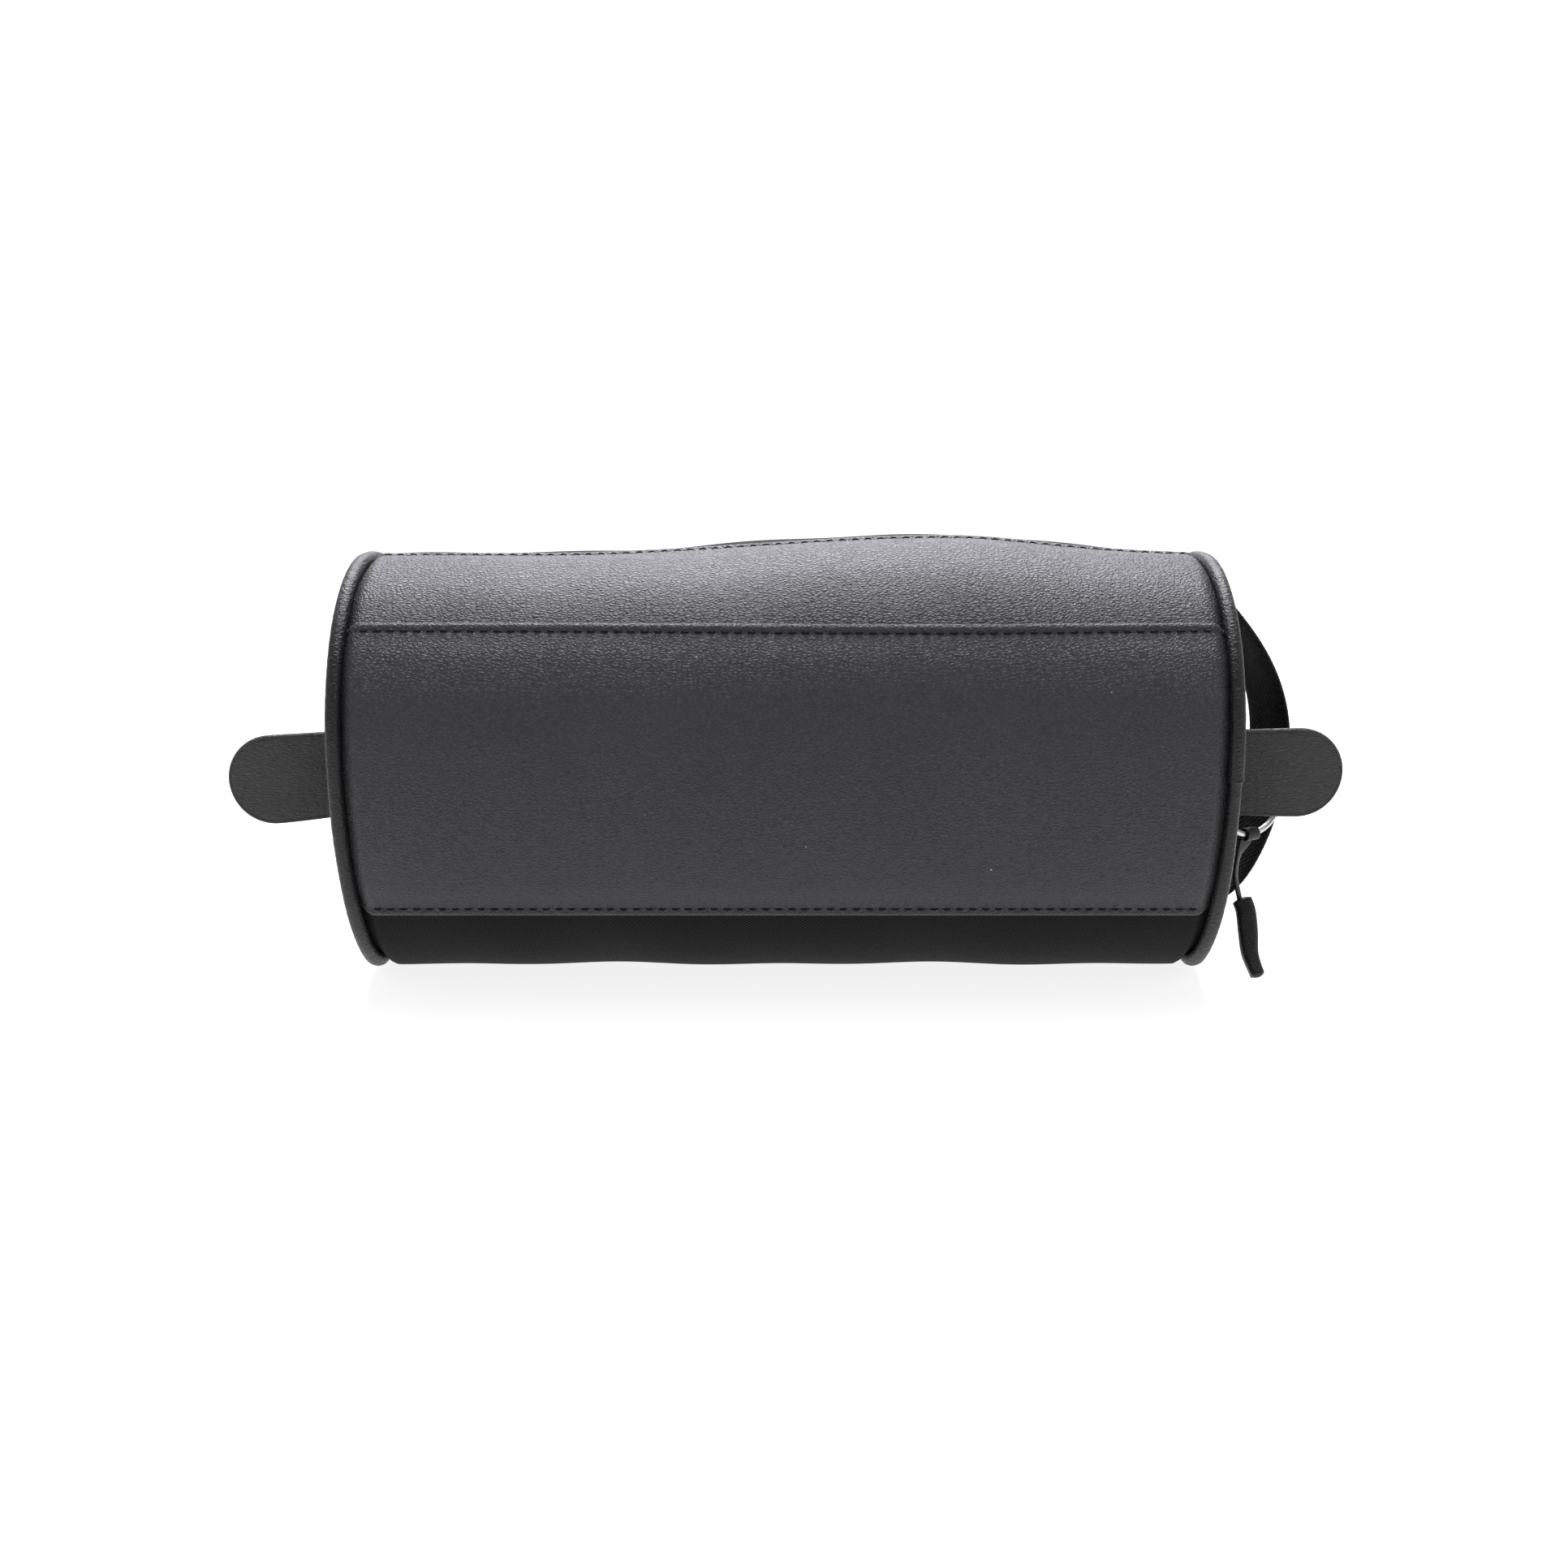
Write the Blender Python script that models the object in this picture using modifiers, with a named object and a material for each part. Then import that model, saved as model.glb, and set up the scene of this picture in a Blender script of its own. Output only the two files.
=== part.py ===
"""Shaving kit bag, lying on its front with the base towards -Y and the back panel on top.

X runs along the bag, Y from the base to the zip, Z up. The origin is under the middle of the bag.
The skins are layers of one rounded section, made of four quarters: each layer is inset a little
further than the last. A turn round the section is 0 at the zip, a quarter at the top, half at the base.
"""

import math

import bmesh
import bpy
from mathutils import Matrix, Vector

# Overall sizes
BAG_LENGTH = 0.280          # over the piping at both ends
BAG_DEPTH = 0.140           # base to zip
TOP_HEIGHT = 0.1484         # of the outermost layer
BOTTOM_HEIGHT = -0.0030     # of the outermost layer, before the table flattens it
END_DROP = 0.0040           # how much lower the top is at the ends than at the middle
BASE_TOP_DEPTH = 0.061      # from the base to the section's highest line
BASE_BOTTOM_DEPTH = 0.075   # from the base to the line where it meets the table
BASE_BULGE_HEIGHT = 0.085   # where the base stands out furthest
ZIP_SIDE_HEIGHT = 0.072     # where the zip side stands out furthest
SQUARENESS = {              # 2 is an ellipse, more is squarer
    ("base", "top"): 2.07, ("base", "bottom"): 1.95, ("zip", "top"): 2.2, ("zip", "bottom"): 2.6}

# Sheet materials
LEATHER = 0.0014
CANVAS = 0.0012
LINING = 0.0006
GAP = 0.0003                # between sewn neighbours

# Layers, from the outside in
BASE_LAYER = 0.0
LEATHER_LAYER = BASE_LAYER + LEATHER + GAP
CANVAS_LAYER = LEATHER_LAYER + LEATHER + GAP
LINING_LAYER = CANVAS_LAYER + CANVAS + 0.0004
FLOOR_LAYER = LEATHER_LAYER  # the layer that touches the table
BASE_Y = -BAG_DEPTH / 2
ZIP_Y = BAG_DEPTH / 2
TOP_Y = BASE_Y + BASE_TOP_DEPTH
BOTTOM_Y = BASE_Y + BASE_BOTTOM_DEPTH
MIDDLE = Vector((0.0, 0.0, (TOP_HEIGHT + BOTTOM_HEIGHT) / 2))

# Seams
LOWER_SEAM_HEIGHT = 0.0305
UPPER_SEAM_HEIGHT = TOP_HEIGHT - 0.0244
LEATHER_EDGE_Y = TOP_Y - 0.003   # the far edge of the back panel's leather
SEAM_LAP = 0.010

# Ends
PIPING_RADIUS = 0.0024
PIPING_X = BAG_LENGTH / 2 - PIPING_RADIUS
PIPING_LAYER = PIPING_RADIUS
SKIN_HALF_LENGTH = PIPING_X - PIPING_RADIUS - 2 * GAP
END_RIM_X = PIPING_X
END_LAYER = PIPING_LAYER + PIPING_RADIUS + GAP
END_DOME = 0.0050
LINING_END_X = SKIN_HALF_LENGTH - 0.0020
LINING_END_LAYER = LINING_LAYER + LINING + GAP

# Lid: the half of the back that lifts, hinged across the top
HINGE_Y = 0.023
ZIP_HEIGHT = 0.0705
ZIP_SLOT = 0.012            # opening between the panels, which the tapes close

# Zip
TAPE_WIDTH = 0.0095
TAPE = 0.0007
TAPE_GAP = 0.0028           # between the two tapes
COIL_RADIUS = 0.0009
COIL_OFFSET = 0.0018        # from the zip's middle line to a coil's centre
TAPE_CLEAR = 0.0007
TAPE_LAYER = CANVAS_LAYER + CANVAS + TAPE_CLEAR
CORNER_RADIUS = 0.012
PANEL_LAYER = CANVAS_LAYER - GAP    # the layer whose tape offset clears an end panel's inner face

# Slider and pull
SLIDER_Y = -0.0205
SLIDER_LENGTH = 0.0100
ZIP_END_Y = SLIDER_Y - SLIDER_LENGTH / 2 - 4 * GAP
SLIDER_WIDTH = 0.0070
SLIDER_PLATE = 0.0010
SLIDER_POST = 0.0011
BAIL_RADIUS = 0.0006
BAIL_HALF_WIDTH = 0.0034
RING_RADIUS = 0.0135
RING_WIRE = 0.0010
RING_YAW = math.radians(30)
RING_DROP = math.radians(45)
EYE_RISE = 0.0037           # of the ring's wire above the slider's face
STRAP_WIDTH = 0.0032
STRAP = 0.0008
STRAP_END_HEIGHT = 0.0290
GRIP_LENGTH = 0.0255
GRIP_WIDTH = 0.0054
GRIP_DEPTH = 0.0042
GRIP_LEAN = 0.0110          # how far the grip's lower end comes forward

# Grip tabs and handle
TAB_HEIGHT = ZIP_HEIGHT + 0.0010
TAB_WIDTH = 0.0295
TAB_REACH = 0.0438          # from the piping's middle line to the tab's tip
TAB_END_X = PIPING_X + TAB_REACH
TAB = 0.0030
TAB_Y = ZIP_END_Y - TAB / 2   # the tab covers the zip's end
TAB_HINGE = 0.0020          # from the tab's root to where it bends
LEFT_TAB_ROLL = math.radians(5)
HANDLE_WIDTH = 0.0240
HANDLE_Y = HINGE_Y - 0.0025 - HANDLE_WIDTH / 2   # clear of the lid
HANDLE = 0.0022
HANDLE_FOOT_HEIGHT = 0.0240
HANDLE_HEAD_HEIGHT = TOP_HEIGHT - 0.0154
HANDLE_RISE = 0.0262
HANDLE_SKEW = 0.87           # less than 1 brings the bulge nearer to the foot
HANDLE_FOOT_FULLNESS = 0.35  # a low exponent bends the strap sharply
HANDLE_HEAD_FULLNESS = 1.10
HANDLE_TILT = 0.0085        # how much nearer to the bag the far edge is at the middle

LINING_SLOT = TAPE_GAP + 2 * TAPE_WIDTH + 4 * GAP
SKIN_STEP = math.radians(5)
FULL_TURN = 2 * math.pi


def material(name, color, roughness, metallic=0.0):
    """Return a Principled material."""
    made = bpy.data.materials.new(name)
    made.use_nodes = True
    shader = made.node_tree.nodes["Principled BSDF"]
    shader.inputs["Base Color"].default_value = (*color, 1.0)
    shader.inputs["Roughness"].default_value = roughness
    shader.inputs["Metallic"].default_value = metallic
    return made


def clear_scene():
    """Remove every object that the file opens with."""
    for existing in list(bpy.data.objects):
        bpy.data.objects.remove(existing)


def new_collection(name):
    """Return a new collection in the scene."""
    made = bpy.data.collections.new(name)
    bpy.context.scene.collection.children.link(made)
    return made


# ---------------------------------------------------------------- the section

def power(value, exponent):
    """Return a signed power, for the rounded section."""
    return math.copysign(abs(value) ** exponent, value)


def quarter(across, up, inset, share):
    """Return a quarter's middle (y, z), its depth and height, and its squareness.

    share is the place along the bag: 0 at the middle and 1 at the ends.
    """
    side, end = ("zip" if across > 0 else "base"), ("top" if up > 0 else "bottom")
    y = TOP_Y if up > 0 else BOTTOM_Y
    z = ZIP_SIDE_HEIGHT if across > 0 else BASE_BULGE_HEIGHT
    depth = (ZIP_Y - y if across > 0 else y - BASE_Y) - inset
    top = TOP_HEIGHT - END_DROP * share ** 2
    height = (top - z if up > 0 else z - BOTTOM_HEIGHT) - inset
    return y, z, depth, height, SQUARENESS[side, end]


def section_point(turn, inset, share=0.0, floor=0.0):
    """Return (y, z) on the section at this turn, inset from the outermost layer."""
    across, up = math.cos(turn), math.sin(turn)
    y, z, depth, height, squareness = quarter(across, up, inset, share)
    y += depth * power(across, 2 / squareness)
    z += height * power(up, 2 / squareness)
    return y, max(z, floor)


def share_at(x):
    """Return the place along the bag as a share of the way from the middle to an end."""
    return min(abs(x) / SKIN_HALF_LENGTH, 1.0)


def skin_point(turn, x, layer):
    """Return the point of a layer at this turn round the section and place along the bag."""
    y, z = section_point(turn, layer, share_at(x), layer - FLOOR_LAYER)
    return Vector((x, y, z))


def turn_at_height(side, height, inset, share):
    """Return the turn where the section has this height, on the base's or the zip's side."""
    across = 1 if side == "zip" else -1
    middle = ZIP_SIDE_HEIGHT if side == "zip" else BASE_BULGE_HEIGHT
    _, _, _, reach, squareness = quarter(across, height - middle, inset, share)
    turn = math.asin(power((height - middle) / reach, squareness / 2))
    return turn if side == "zip" else math.pi - turn


def turn_at_y(y, inset):
    """Return the turn on the top where the section has this y."""
    _, _, depth, _, squareness = quarter(y - TOP_Y, 1, inset, 0.0)
    return math.acos(power((y - TOP_Y) / depth, squareness / 2))


def turn_above_zip(rise, inset, share):
    """Return the turn on the zip's side at this rise above the zip's middle line."""
    return turn_at_height("zip", ZIP_HEIGHT + rise, inset, share)


def rim_share(y, z):
    """Return how far (y, z) is from the middle of an end to its rim, as a share."""
    heading = Vector((y - MIDDLE.y, z - MIDDLE.z))
    low, high = -math.pi, math.pi
    for _ in range(40):
        turn = (low + high) / 2
        rim = Vector(section_point(turn, END_LAYER, 1.0)) - MIDDLE.yz
        if math.atan2(rim.y, rim.x) < math.atan2(heading.y, heading.x):
            low = turn
        else:
            high = turn
    return min(heading.length / rim.length, 1.0)


def end_x(y, z, layer=0.0):
    """Return how far out the domed end is at (y, z), for the right end."""
    return END_RIM_X + END_DOME * (1 - rim_share(y, z) ** 2) - layer


# ---------------------------------------------------------------- makers

def link_mesh(name, bm, paint, smooth=True):
    """Make an object of a bmesh in the bag's collection."""
    mesh = bpy.data.meshes.new(name)
    bm.to_mesh(mesh)
    bm.free()
    mesh.materials.append(paint)
    if smooth:
        mesh.shade_smooth()
        mesh.set_sharp_from_angle(angle=math.radians(40))
    piece = bpy.data.objects.new(name, mesh)
    BAG.objects.link(piece)
    return piece


def sheet(name, columns, rows, place, thickness, paint, offset=-1.0):
    """Make a sheet: a grid whose corners run 0 to 1 is laid by place(u, v), then thickened."""
    bm = bmesh.new()
    bmesh.ops.create_grid(bm, x_segments=columns, y_segments=rows, size=0.5)
    for corner in bm.verts:
        corner.co = place(corner.co.x + 0.5, corner.co.y + 0.5)
    bm.normal_update()
    outward = sum(face.normal.dot(face.calc_center_median() - MIDDLE) for face in bm.faces)
    if outward < 0:
        bmesh.ops.reverse_faces(bm, faces=bm.faces)
    piece = link_mesh(name, bm, paint)
    shell = piece.modifiers.new("thickness", "SOLIDIFY")
    shell.thickness = thickness
    shell.offset = offset
    shell.use_even_offset = True
    return piece


def skin(name, start, stop, layer, thickness, paint):
    """Make a panel that wraps part of the section; start and stop give its turns at a share."""
    rows = max(3, round((stop(0.0) - start(0.0)) / SKIN_STEP))

    def place(u, v):
        x = (2 * u - 1) * SKIN_HALF_LENGTH
        low, high = start(share_at(x)), stop(share_at(x))
        return skin_point(low + (high - low) * v, x, layer)

    return sheet(name, 6, rows, place, thickness, paint)


def end_disc(name, side, rim_layer, rim_x, dome, thickness, paint):
    """Make a closed sheet with the section's outline, domed outwards at one end of the bag."""
    floor = max(rim_layer - FLOOR_LAYER, 2 * PIPING_RADIUS + 2 * GAP)

    def place(u, v):
        across, up = 2 * u - 1, 2 * v - 1
        reach = max(abs(across), abs(up))
        y, z = section_point(math.atan2(up, across), rim_layer, 1.0, floor)
        y = MIDDLE.y + (y - MIDDLE.y) * reach
        z = MIDDLE.z + (z - MIDDLE.z) * reach
        return Vector((side * (rim_x + dome * (1 - reach ** 2)), y, z))

    return sheet(name, 12, 12, place, thickness, paint)


def tube(name, points, radius, paint):
    """Make a round rod along the points."""
    curve = bpy.data.curves.new(name, "CURVE")
    curve.dimensions = "3D"
    curve.bevel_depth = radius
    curve.bevel_resolution = 1
    curve.use_fill_caps = True
    spline = curve.splines.new("POLY")
    spline.points.add(len(points) - 1)
    for knot, place in zip(spline.points, points):
        knot.co = (*place, 1.0)
    curve.materials.append(paint)
    rod = bpy.data.objects.new(name, curve)
    BAG.objects.link(rod)
    return rod


def plate(name, outline, thickness, paint):
    """Make a flat plate of this thickness from a closed outline of (x, y) points."""
    curve = bpy.data.curves.new(name, "CURVE")
    curve.dimensions = "2D"
    curve.fill_mode = "BOTH"
    curve.extrude = thickness / 2
    spline = curve.splines.new("POLY")
    spline.points.add(len(outline) - 1)
    for knot, (x, y) in zip(spline.points, outline):
        knot.co = (x, y, 0.0, 1.0)
    spline.use_cyclic_u = True
    curve.materials.append(paint)
    flat = bpy.data.objects.new(name, curve)
    BAG.objects.link(flat)
    return flat


def cutter_box(name, low, high):
    """Make a hidden box that cuts other pieces."""
    bm = bmesh.new()
    bmesh.ops.create_cube(bm, size=1.0)
    low, high = Vector(low), Vector(high)
    for corner in bm.verts:
        corner.co = (low + high) / 2 + corner.co * (high - low)
    mesh = bpy.data.meshes.new(name)
    bm.to_mesh(mesh)
    bm.free()
    box = bpy.data.objects.new(name, mesh)
    box.hide_render = True
    box.display_type = "WIRE"
    CUTTERS.objects.link(box)
    return box


def cut(piece, cutter, operation="DIFFERENCE"):
    """Add a Boolean to a piece."""
    boolean = piece.modifiers.new(cutter.name, "BOOLEAN")
    boolean.operation = operation
    boolean.object = cutter


def block(name, low, high, bevel, paint):
    """Make a box with rounded edges."""
    bm = bmesh.new()
    bmesh.ops.create_cube(bm, size=1.0)
    low, high = Vector(low), Vector(high)
    for corner in bm.verts:
        corner.co = (low + high) / 2 + corner.co * (high - low)
    piece = link_mesh(name, bm, paint)
    rounding = piece.modifiers.new("rounding", "BEVEL")
    rounding.width = bevel
    rounding.segments = 2
    return piece


# ---------------------------------------------------------------- panels and ends

def base_edge(height, layer):
    """Return the turn, at each share, of an edge that keeps this height on the base's side."""
    return lambda share: turn_at_height("base", height, layer, share)


def top_edge(y, layer):
    """Return the turn, at each share, of an edge that keeps this y on the top."""
    return lambda share: turn_at_y(y, layer)


def zip_edge(rise, layer):
    """Return the turn, at each share, of an edge beside the zip; those below it are a turn further."""
    return lambda share: turn_above_zip(rise, layer, share) + (FULL_TURN if rise < 0 else 0.0)


def build_panels():
    """Make the panels that wrap the bag and their lining."""
    half_slot, half_lining_slot = ZIP_SLOT / 2, LINING_SLOT / 2
    skin("base_panel", base_edge(UPPER_SEAM_HEIGHT, BASE_LAYER), base_edge(LOWER_SEAM_HEIGHT, BASE_LAYER),
         BASE_LAYER, LEATHER, SMOOTH_LEATHER)
    skin("back_leather_panel", top_edge(LEATHER_EDGE_Y, LEATHER_LAYER),
         base_edge(UPPER_SEAM_HEIGHT - SEAM_LAP, LEATHER_LAYER), LEATHER_LAYER, LEATHER, SMOOTH_LEATHER)
    skin("front_panel", base_edge(LOWER_SEAM_HEIGHT + SEAM_LAP, LEATHER_LAYER),
         zip_edge(-half_slot, LEATHER_LAYER), LEATHER_LAYER, CANVAS, BLACK_CANVAS)
    skin("back_canvas_panel", top_edge(HINGE_Y - GAP, CANVAS_LAYER),
         top_edge(LEATHER_EDGE_Y - SEAM_LAP, CANVAS_LAYER), CANVAS_LAYER, CANVAS, BLACK_CANVAS)
    skin("lid_panel", zip_edge(half_slot, CANVAS_LAYER), top_edge(HINGE_Y + GAP, CANVAS_LAYER),
         CANVAS_LAYER, CANVAS, BLACK_CANVAS)
    skin("body_lining", top_edge(HINGE_Y - GAP, LINING_LAYER), zip_edge(-half_lining_slot, LINING_LAYER),
         LINING_LAYER, LINING, LINING_CLOTH)
    skin("lid_lining", zip_edge(half_lining_slot, LINING_LAYER), top_edge(HINGE_Y + 2 * GAP, LINING_LAYER),
         LINING_LAYER, LINING, LINING_CLOTH)


def end_cutters(name, half_slot):
    """Make the boxes that cut the ends: the zip's slot, all beyond the hinge, and the lid's part."""
    reach = BAG_LENGTH
    low, high = ZIP_HEIGHT - half_slot, ZIP_HEIGHT + half_slot
    slot = cutter_box(f"{name}_slot", (-reach, ZIP_END_Y, low), (reach, reach, high))
    beyond = cutter_box(f"{name}_beyond", (-reach, HINGE_Y - GAP, ZIP_HEIGHT), (reach, reach, reach))
    lid = cutter_box(f"{name}_lid", (-reach, HINGE_Y + GAP, high), (reach, reach, reach))
    return slot, beyond, lid


def build_ends():
    """Make the end panels, their lids and their linings, cut where the zip and the lid's edge run."""
    panel_cutters = end_cutters("panel", ZIP_SLOT / 2)
    lining_cutters = end_cutters("lining", LINING_SLOT / 2)
    for word, side in SIDES:
        panel = end_disc(f"{word}_end_panel", side, END_LAYER, END_RIM_X, END_DOME, CANVAS, BLACK_CANVAS)
        lining = end_disc(f"{word}_end_lining", side, LINING_END_LAYER, LINING_END_X, 0.0,
                          LINING, LINING_CLOTH)
        for piece, (slot, beyond, _) in ((panel, panel_cutters), (lining, lining_cutters)):
            cut(piece, slot)
            cut(piece, beyond)
        lid_end = end_disc(f"lid_{word}_end", side, END_LAYER, END_RIM_X, END_DOME, CANVAS, BLACK_CANVAS)
        lid_end_lining = end_disc(f"lid_{word}_end_lining", side, LINING_END_LAYER, LINING_END_X, 0.0,
                                  LINING, LINING_CLOTH)
        cut(lid_end, panel_cutters[2], "INTERSECT")
        cut(lid_end_lining, lining_cutters[2], "INTERSECT")


def piping_points(side, start, stop):
    """Return the piping's route round the section between two turns."""
    count = max(6, round((stop - start) / SKIN_STEP) + 1)
    points = []
    for index in range(count):
        turn = start + (stop - start) * index / (count - 1)
        y, z = section_point(turn, PIPING_LAYER, 1.0, PIPING_RADIUS + GAP)
        points.append(Vector((side * PIPING_X, y, z)))
    return points


def build_piping():
    """Make the cords wrapped in leather round both ends."""
    fixed_hinge = turn_at_y(HINGE_Y - 2 * GAP, PIPING_LAYER)
    lid_hinge = turn_at_y(HINGE_Y + 2 * GAP, PIPING_LAYER)
    below_zip = FULL_TURN + turn_above_zip(-ZIP_SLOT / 2, PIPING_LAYER, 1.0)
    above_zip = turn_above_zip(ZIP_SLOT / 2, PIPING_LAYER, 1.0)
    for word, side in SIDES:
        points = piping_points(side, fixed_hinge, below_zip)
        tube(f"{word}_piping", points, PIPING_RADIUS, SMOOTH_LEATHER)
        points = piping_points(side, above_zip, lid_hinge)
        tube(f"lid_{word}_piping", points, PIPING_RADIUS, SMOOTH_LEATHER)


# ---------------------------------------------------------------- zip

def zip_route(start_y, layer):
    """Return the zip's route in plan, from start_y on the right end round to start_y on the left."""
    far_y = ZIP_Y - layer
    corner_y = far_y - CORNER_RADIUS
    corner_x = end_x(corner_y, ZIP_HEIGHT, layer - PANEL_LAYER) - CORNER_RADIUS
    half = []
    for index in range(8):
        y = start_y + (corner_y - start_y) * index / 8
        half.append(Vector((end_x(y, ZIP_HEIGHT, layer - PANEL_LAYER), y, 0.0)))
    for index in range(7):
        turn = math.pi / 2 * index / 6
        reach = Vector((math.cos(turn), math.sin(turn), 0.0)) * CORNER_RADIUS
        half.append(Vector((corner_x, corner_y, 0.0)) + reach)
    for index in range(1, 6):
        x = corner_x * (1 - index / 6)
        half.append(Vector((x, far_y, 0.0)))
    middle = Vector((0.0, far_y, 0.0))
    return half + [middle] + [Vector((-p.x, p.y, 0.0)) for p in reversed(half)]


def tape_lean(point, height):
    """Return how far a tape leans in at this height to follow the zip side's panels."""
    corner_y = ZIP_Y - TAPE_LAYER - CORNER_RADIUS
    on_side = min(max((point.y - corner_y) / CORNER_RADIUS, 0.0), 1.0)
    share = share_at(point.x)
    at_zip = section_point(turn_above_zip(0.0, TAPE_LAYER, share), TAPE_LAYER, share)
    at_height = section_point(turn_above_zip(height - ZIP_HEIGHT, TAPE_LAYER, share), TAPE_LAYER, share)
    return (at_zip[0] - at_height[0]) * on_side


def tape(name, route, low, high):
    """Make a flat tape that stands on edge along a route."""
    last = len(route) - 1

    def place(u, v):
        point = route[round(u * last)]
        height = low + (high - low) * v
        return point + Vector((0.0, -tape_lean(point, height), height))

    return sheet(name, last, 1, place, TAPE, BLACK_TAPE)


def coil(name, route, height):
    """Make the coil's envelope along a route."""
    return tube(name, [place + Vector((0.0, 0.0, height)) for place in route], COIL_RADIUS, COIL_NYLON)


def build_zip():
    """Make both tapes and coils: one whole front run, the lid's run and two short fixed runs."""
    low_edge = ZIP_HEIGHT - TAPE_GAP / 2 - TAPE_WIDTH
    high_edge = ZIP_HEIGHT + TAPE_GAP / 2 + TAPE_WIDTH
    coil_layer = TAPE_LAYER - GAP - COIL_RADIUS
    start = ZIP_END_Y + 0.002
    tape("zip_tape_front", zip_route(start, TAPE_LAYER), low_edge, ZIP_HEIGHT - TAPE_GAP / 2)
    coil("zip_coil_front", zip_route(start, coil_layer), ZIP_HEIGHT - COIL_OFFSET)
    tape("zip_tape_lid", zip_route(HINGE_Y + GAP, TAPE_LAYER), ZIP_HEIGHT + TAPE_GAP / 2, high_edge)
    coil("zip_coil_lid", zip_route(HINGE_Y + GAP, coil_layer), ZIP_HEIGHT + COIL_OFFSET)
    for word, side in SIDES:
        for kind, layer in (("tape", TAPE_LAYER), ("coil", coil_layer)):
            run = []
            for index in range(5):
                y = start + (HINGE_Y - GAP - start) * index / 4
                run.append(Vector((side * end_x(y, ZIP_HEIGHT, layer - PANEL_LAYER), y, 0.0)))
            if kind == "tape":
                tape(f"zip_tape_back_{word}", run, ZIP_HEIGHT + TAPE_GAP / 2, high_edge)
            else:
                coil(f"zip_coil_back_{word}", run, ZIP_HEIGHT + COIL_OFFSET)


def build_slider():
    """Make the slider's body, its bail, the ring, and the pull that hangs from the ring."""
    tape_face = end_x(SLIDER_Y, ZIP_HEIGHT, TAPE_LAYER - PANEL_LAYER)
    face_in = tape_face + GAP + 2 * COIL_RADIUS + 2 * GAP
    face_out = face_in + SLIDER_PLATE
    back_out = tape_face - TAPE - 3 * GAP
    back_in = back_out - SLIDER_PLATE
    wide, post = SLIDER_WIDTH / 2, SLIDER_POST / 2
    outline = [(back_in, -wide), (back_out, -wide), (back_out, -post), (face_in, -post),
               (face_in, -wide), (face_out, -wide), (face_out, wide), (face_in, wide),
               (face_in, post), (back_out, post), (back_out, wide), (back_in, wide)]
    body = plate("zip_slider", outline, SLIDER_LENGTH, NICKEL)
    body.location = (0.0, SLIDER_Y, ZIP_HEIGHT)
    body.rotation_euler = (math.pi / 2, 0.0, 0.0)

    eye = Vector((face_out + EYE_RISE, SLIDER_Y, ZIP_HEIGHT))
    top = eye.x + RING_WIRE + 0.0022
    foot = face_out + GAP
    arch = [Vector((foot, SLIDER_Y - BAIL_HALF_WIDTH, ZIP_HEIGHT))]
    for index in range(9):
        turn = math.pi * (1 - index / 8)
        arch.append(Vector((top - BAIL_HALF_WIDTH + BAIL_HALF_WIDTH * math.sin(turn),
                            SLIDER_Y + BAIL_HALF_WIDTH * math.cos(turn), ZIP_HEIGHT)))
    arch.append(Vector((foot, SLIDER_Y + BAIL_HALF_WIDTH, ZIP_HEIGHT)))
    tube("slider_bail", arch, BAIL_RADIUS, NICKEL)

    outward = Vector((math.cos(RING_YAW), math.sin(RING_YAW), 0.0))
    drop = outward * math.cos(RING_DROP) - Vector((0.0, 0.0, 1.0)) * math.sin(RING_DROP)
    centre = eye + drop * RING_RADIUS
    bpy.ops.mesh.primitive_torus_add(major_segments=32, minor_segments=8,
                                     major_radius=RING_RADIUS, minor_radius=RING_WIRE)
    ring = bpy.context.active_object
    ring.name = "pull_ring"
    ring.data.name = "pull_ring"
    ring.data.shade_smooth()
    ring.data.materials.append(NICKEL)
    for owner in list(ring.users_collection):
        owner.objects.unlink(ring)
    BAG.objects.link(ring)
    ring.data.transform(ring_matrix(centre - eye))
    ring.location = eye

    build_pull(centre - Vector((0.0, 0.0, RING_RADIUS)), outward)


def ring_matrix(place):
    """Return the turn and shift that stand the ring's mesh in its plane at a place."""
    stand = Matrix.Rotation(RING_YAW, 4, "Z") @ Matrix.Rotation(math.pi / 2, 4, "X")
    return Matrix.Translation(place) @ stand


def build_pull(pivot, along):
    """Make the strap looped on the ring and the grip under it; along is the wire's direction."""
    across = Vector((-along.y, along.x, 0.0))
    loop = RING_WIRE + GAP + STRAP / 2
    spread = STRAP / 2 + GAP / 2
    end = STRAP_END_HEIGHT + GAP - pivot.z
    route = [(-spread, end), (-spread, end * 0.5), (-loop, -1.5 * loop)]
    for index in range(9):
        turn = math.pi * (1 - index / 8)
        route.append((loop * math.cos(turn), loop * math.sin(turn)))
    route += [(loop, -1.5 * loop), (spread, end * 0.5), (spread, end)]
    last = len(route) - 1

    def place(u, v):
        side, up = route[round(u * last)]
        return across * side + Vector((0.0, 0.0, up)) + along * ((v - 0.5) * STRAP_WIDTH)

    strap = sheet("pull_strap", last, 1, place, STRAP, SMOOTH_LEATHER, 0.0)
    strap.location = pivot

    bm = bmesh.new()
    bmesh.ops.create_cube(bm, size=1.0)
    for corner in bm.verts:
        narrow = 1.0 if corner.co.z < 0 else 0.8
        x, y = corner.co.x * GRIP_WIDTH * narrow, corner.co.y * GRIP_DEPTH * narrow
        z = STRAP_END_HEIGHT - pivot.z - GRIP_LENGTH / 2 + corner.co.z * GRIP_LENGTH
        lean = GRIP_LEAN * (0.5 - corner.co.z)
        corner.co = along * x + across * y + Vector((0.0, -lean, z))
    grip = link_mesh("pull_grip", bm, SMOOTH_LEATHER)
    rounding = grip.modifiers.new("rounding", "BEVEL")
    rounding.width = 0.0012
    rounding.segments = 2
    grip.location = pivot


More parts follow.
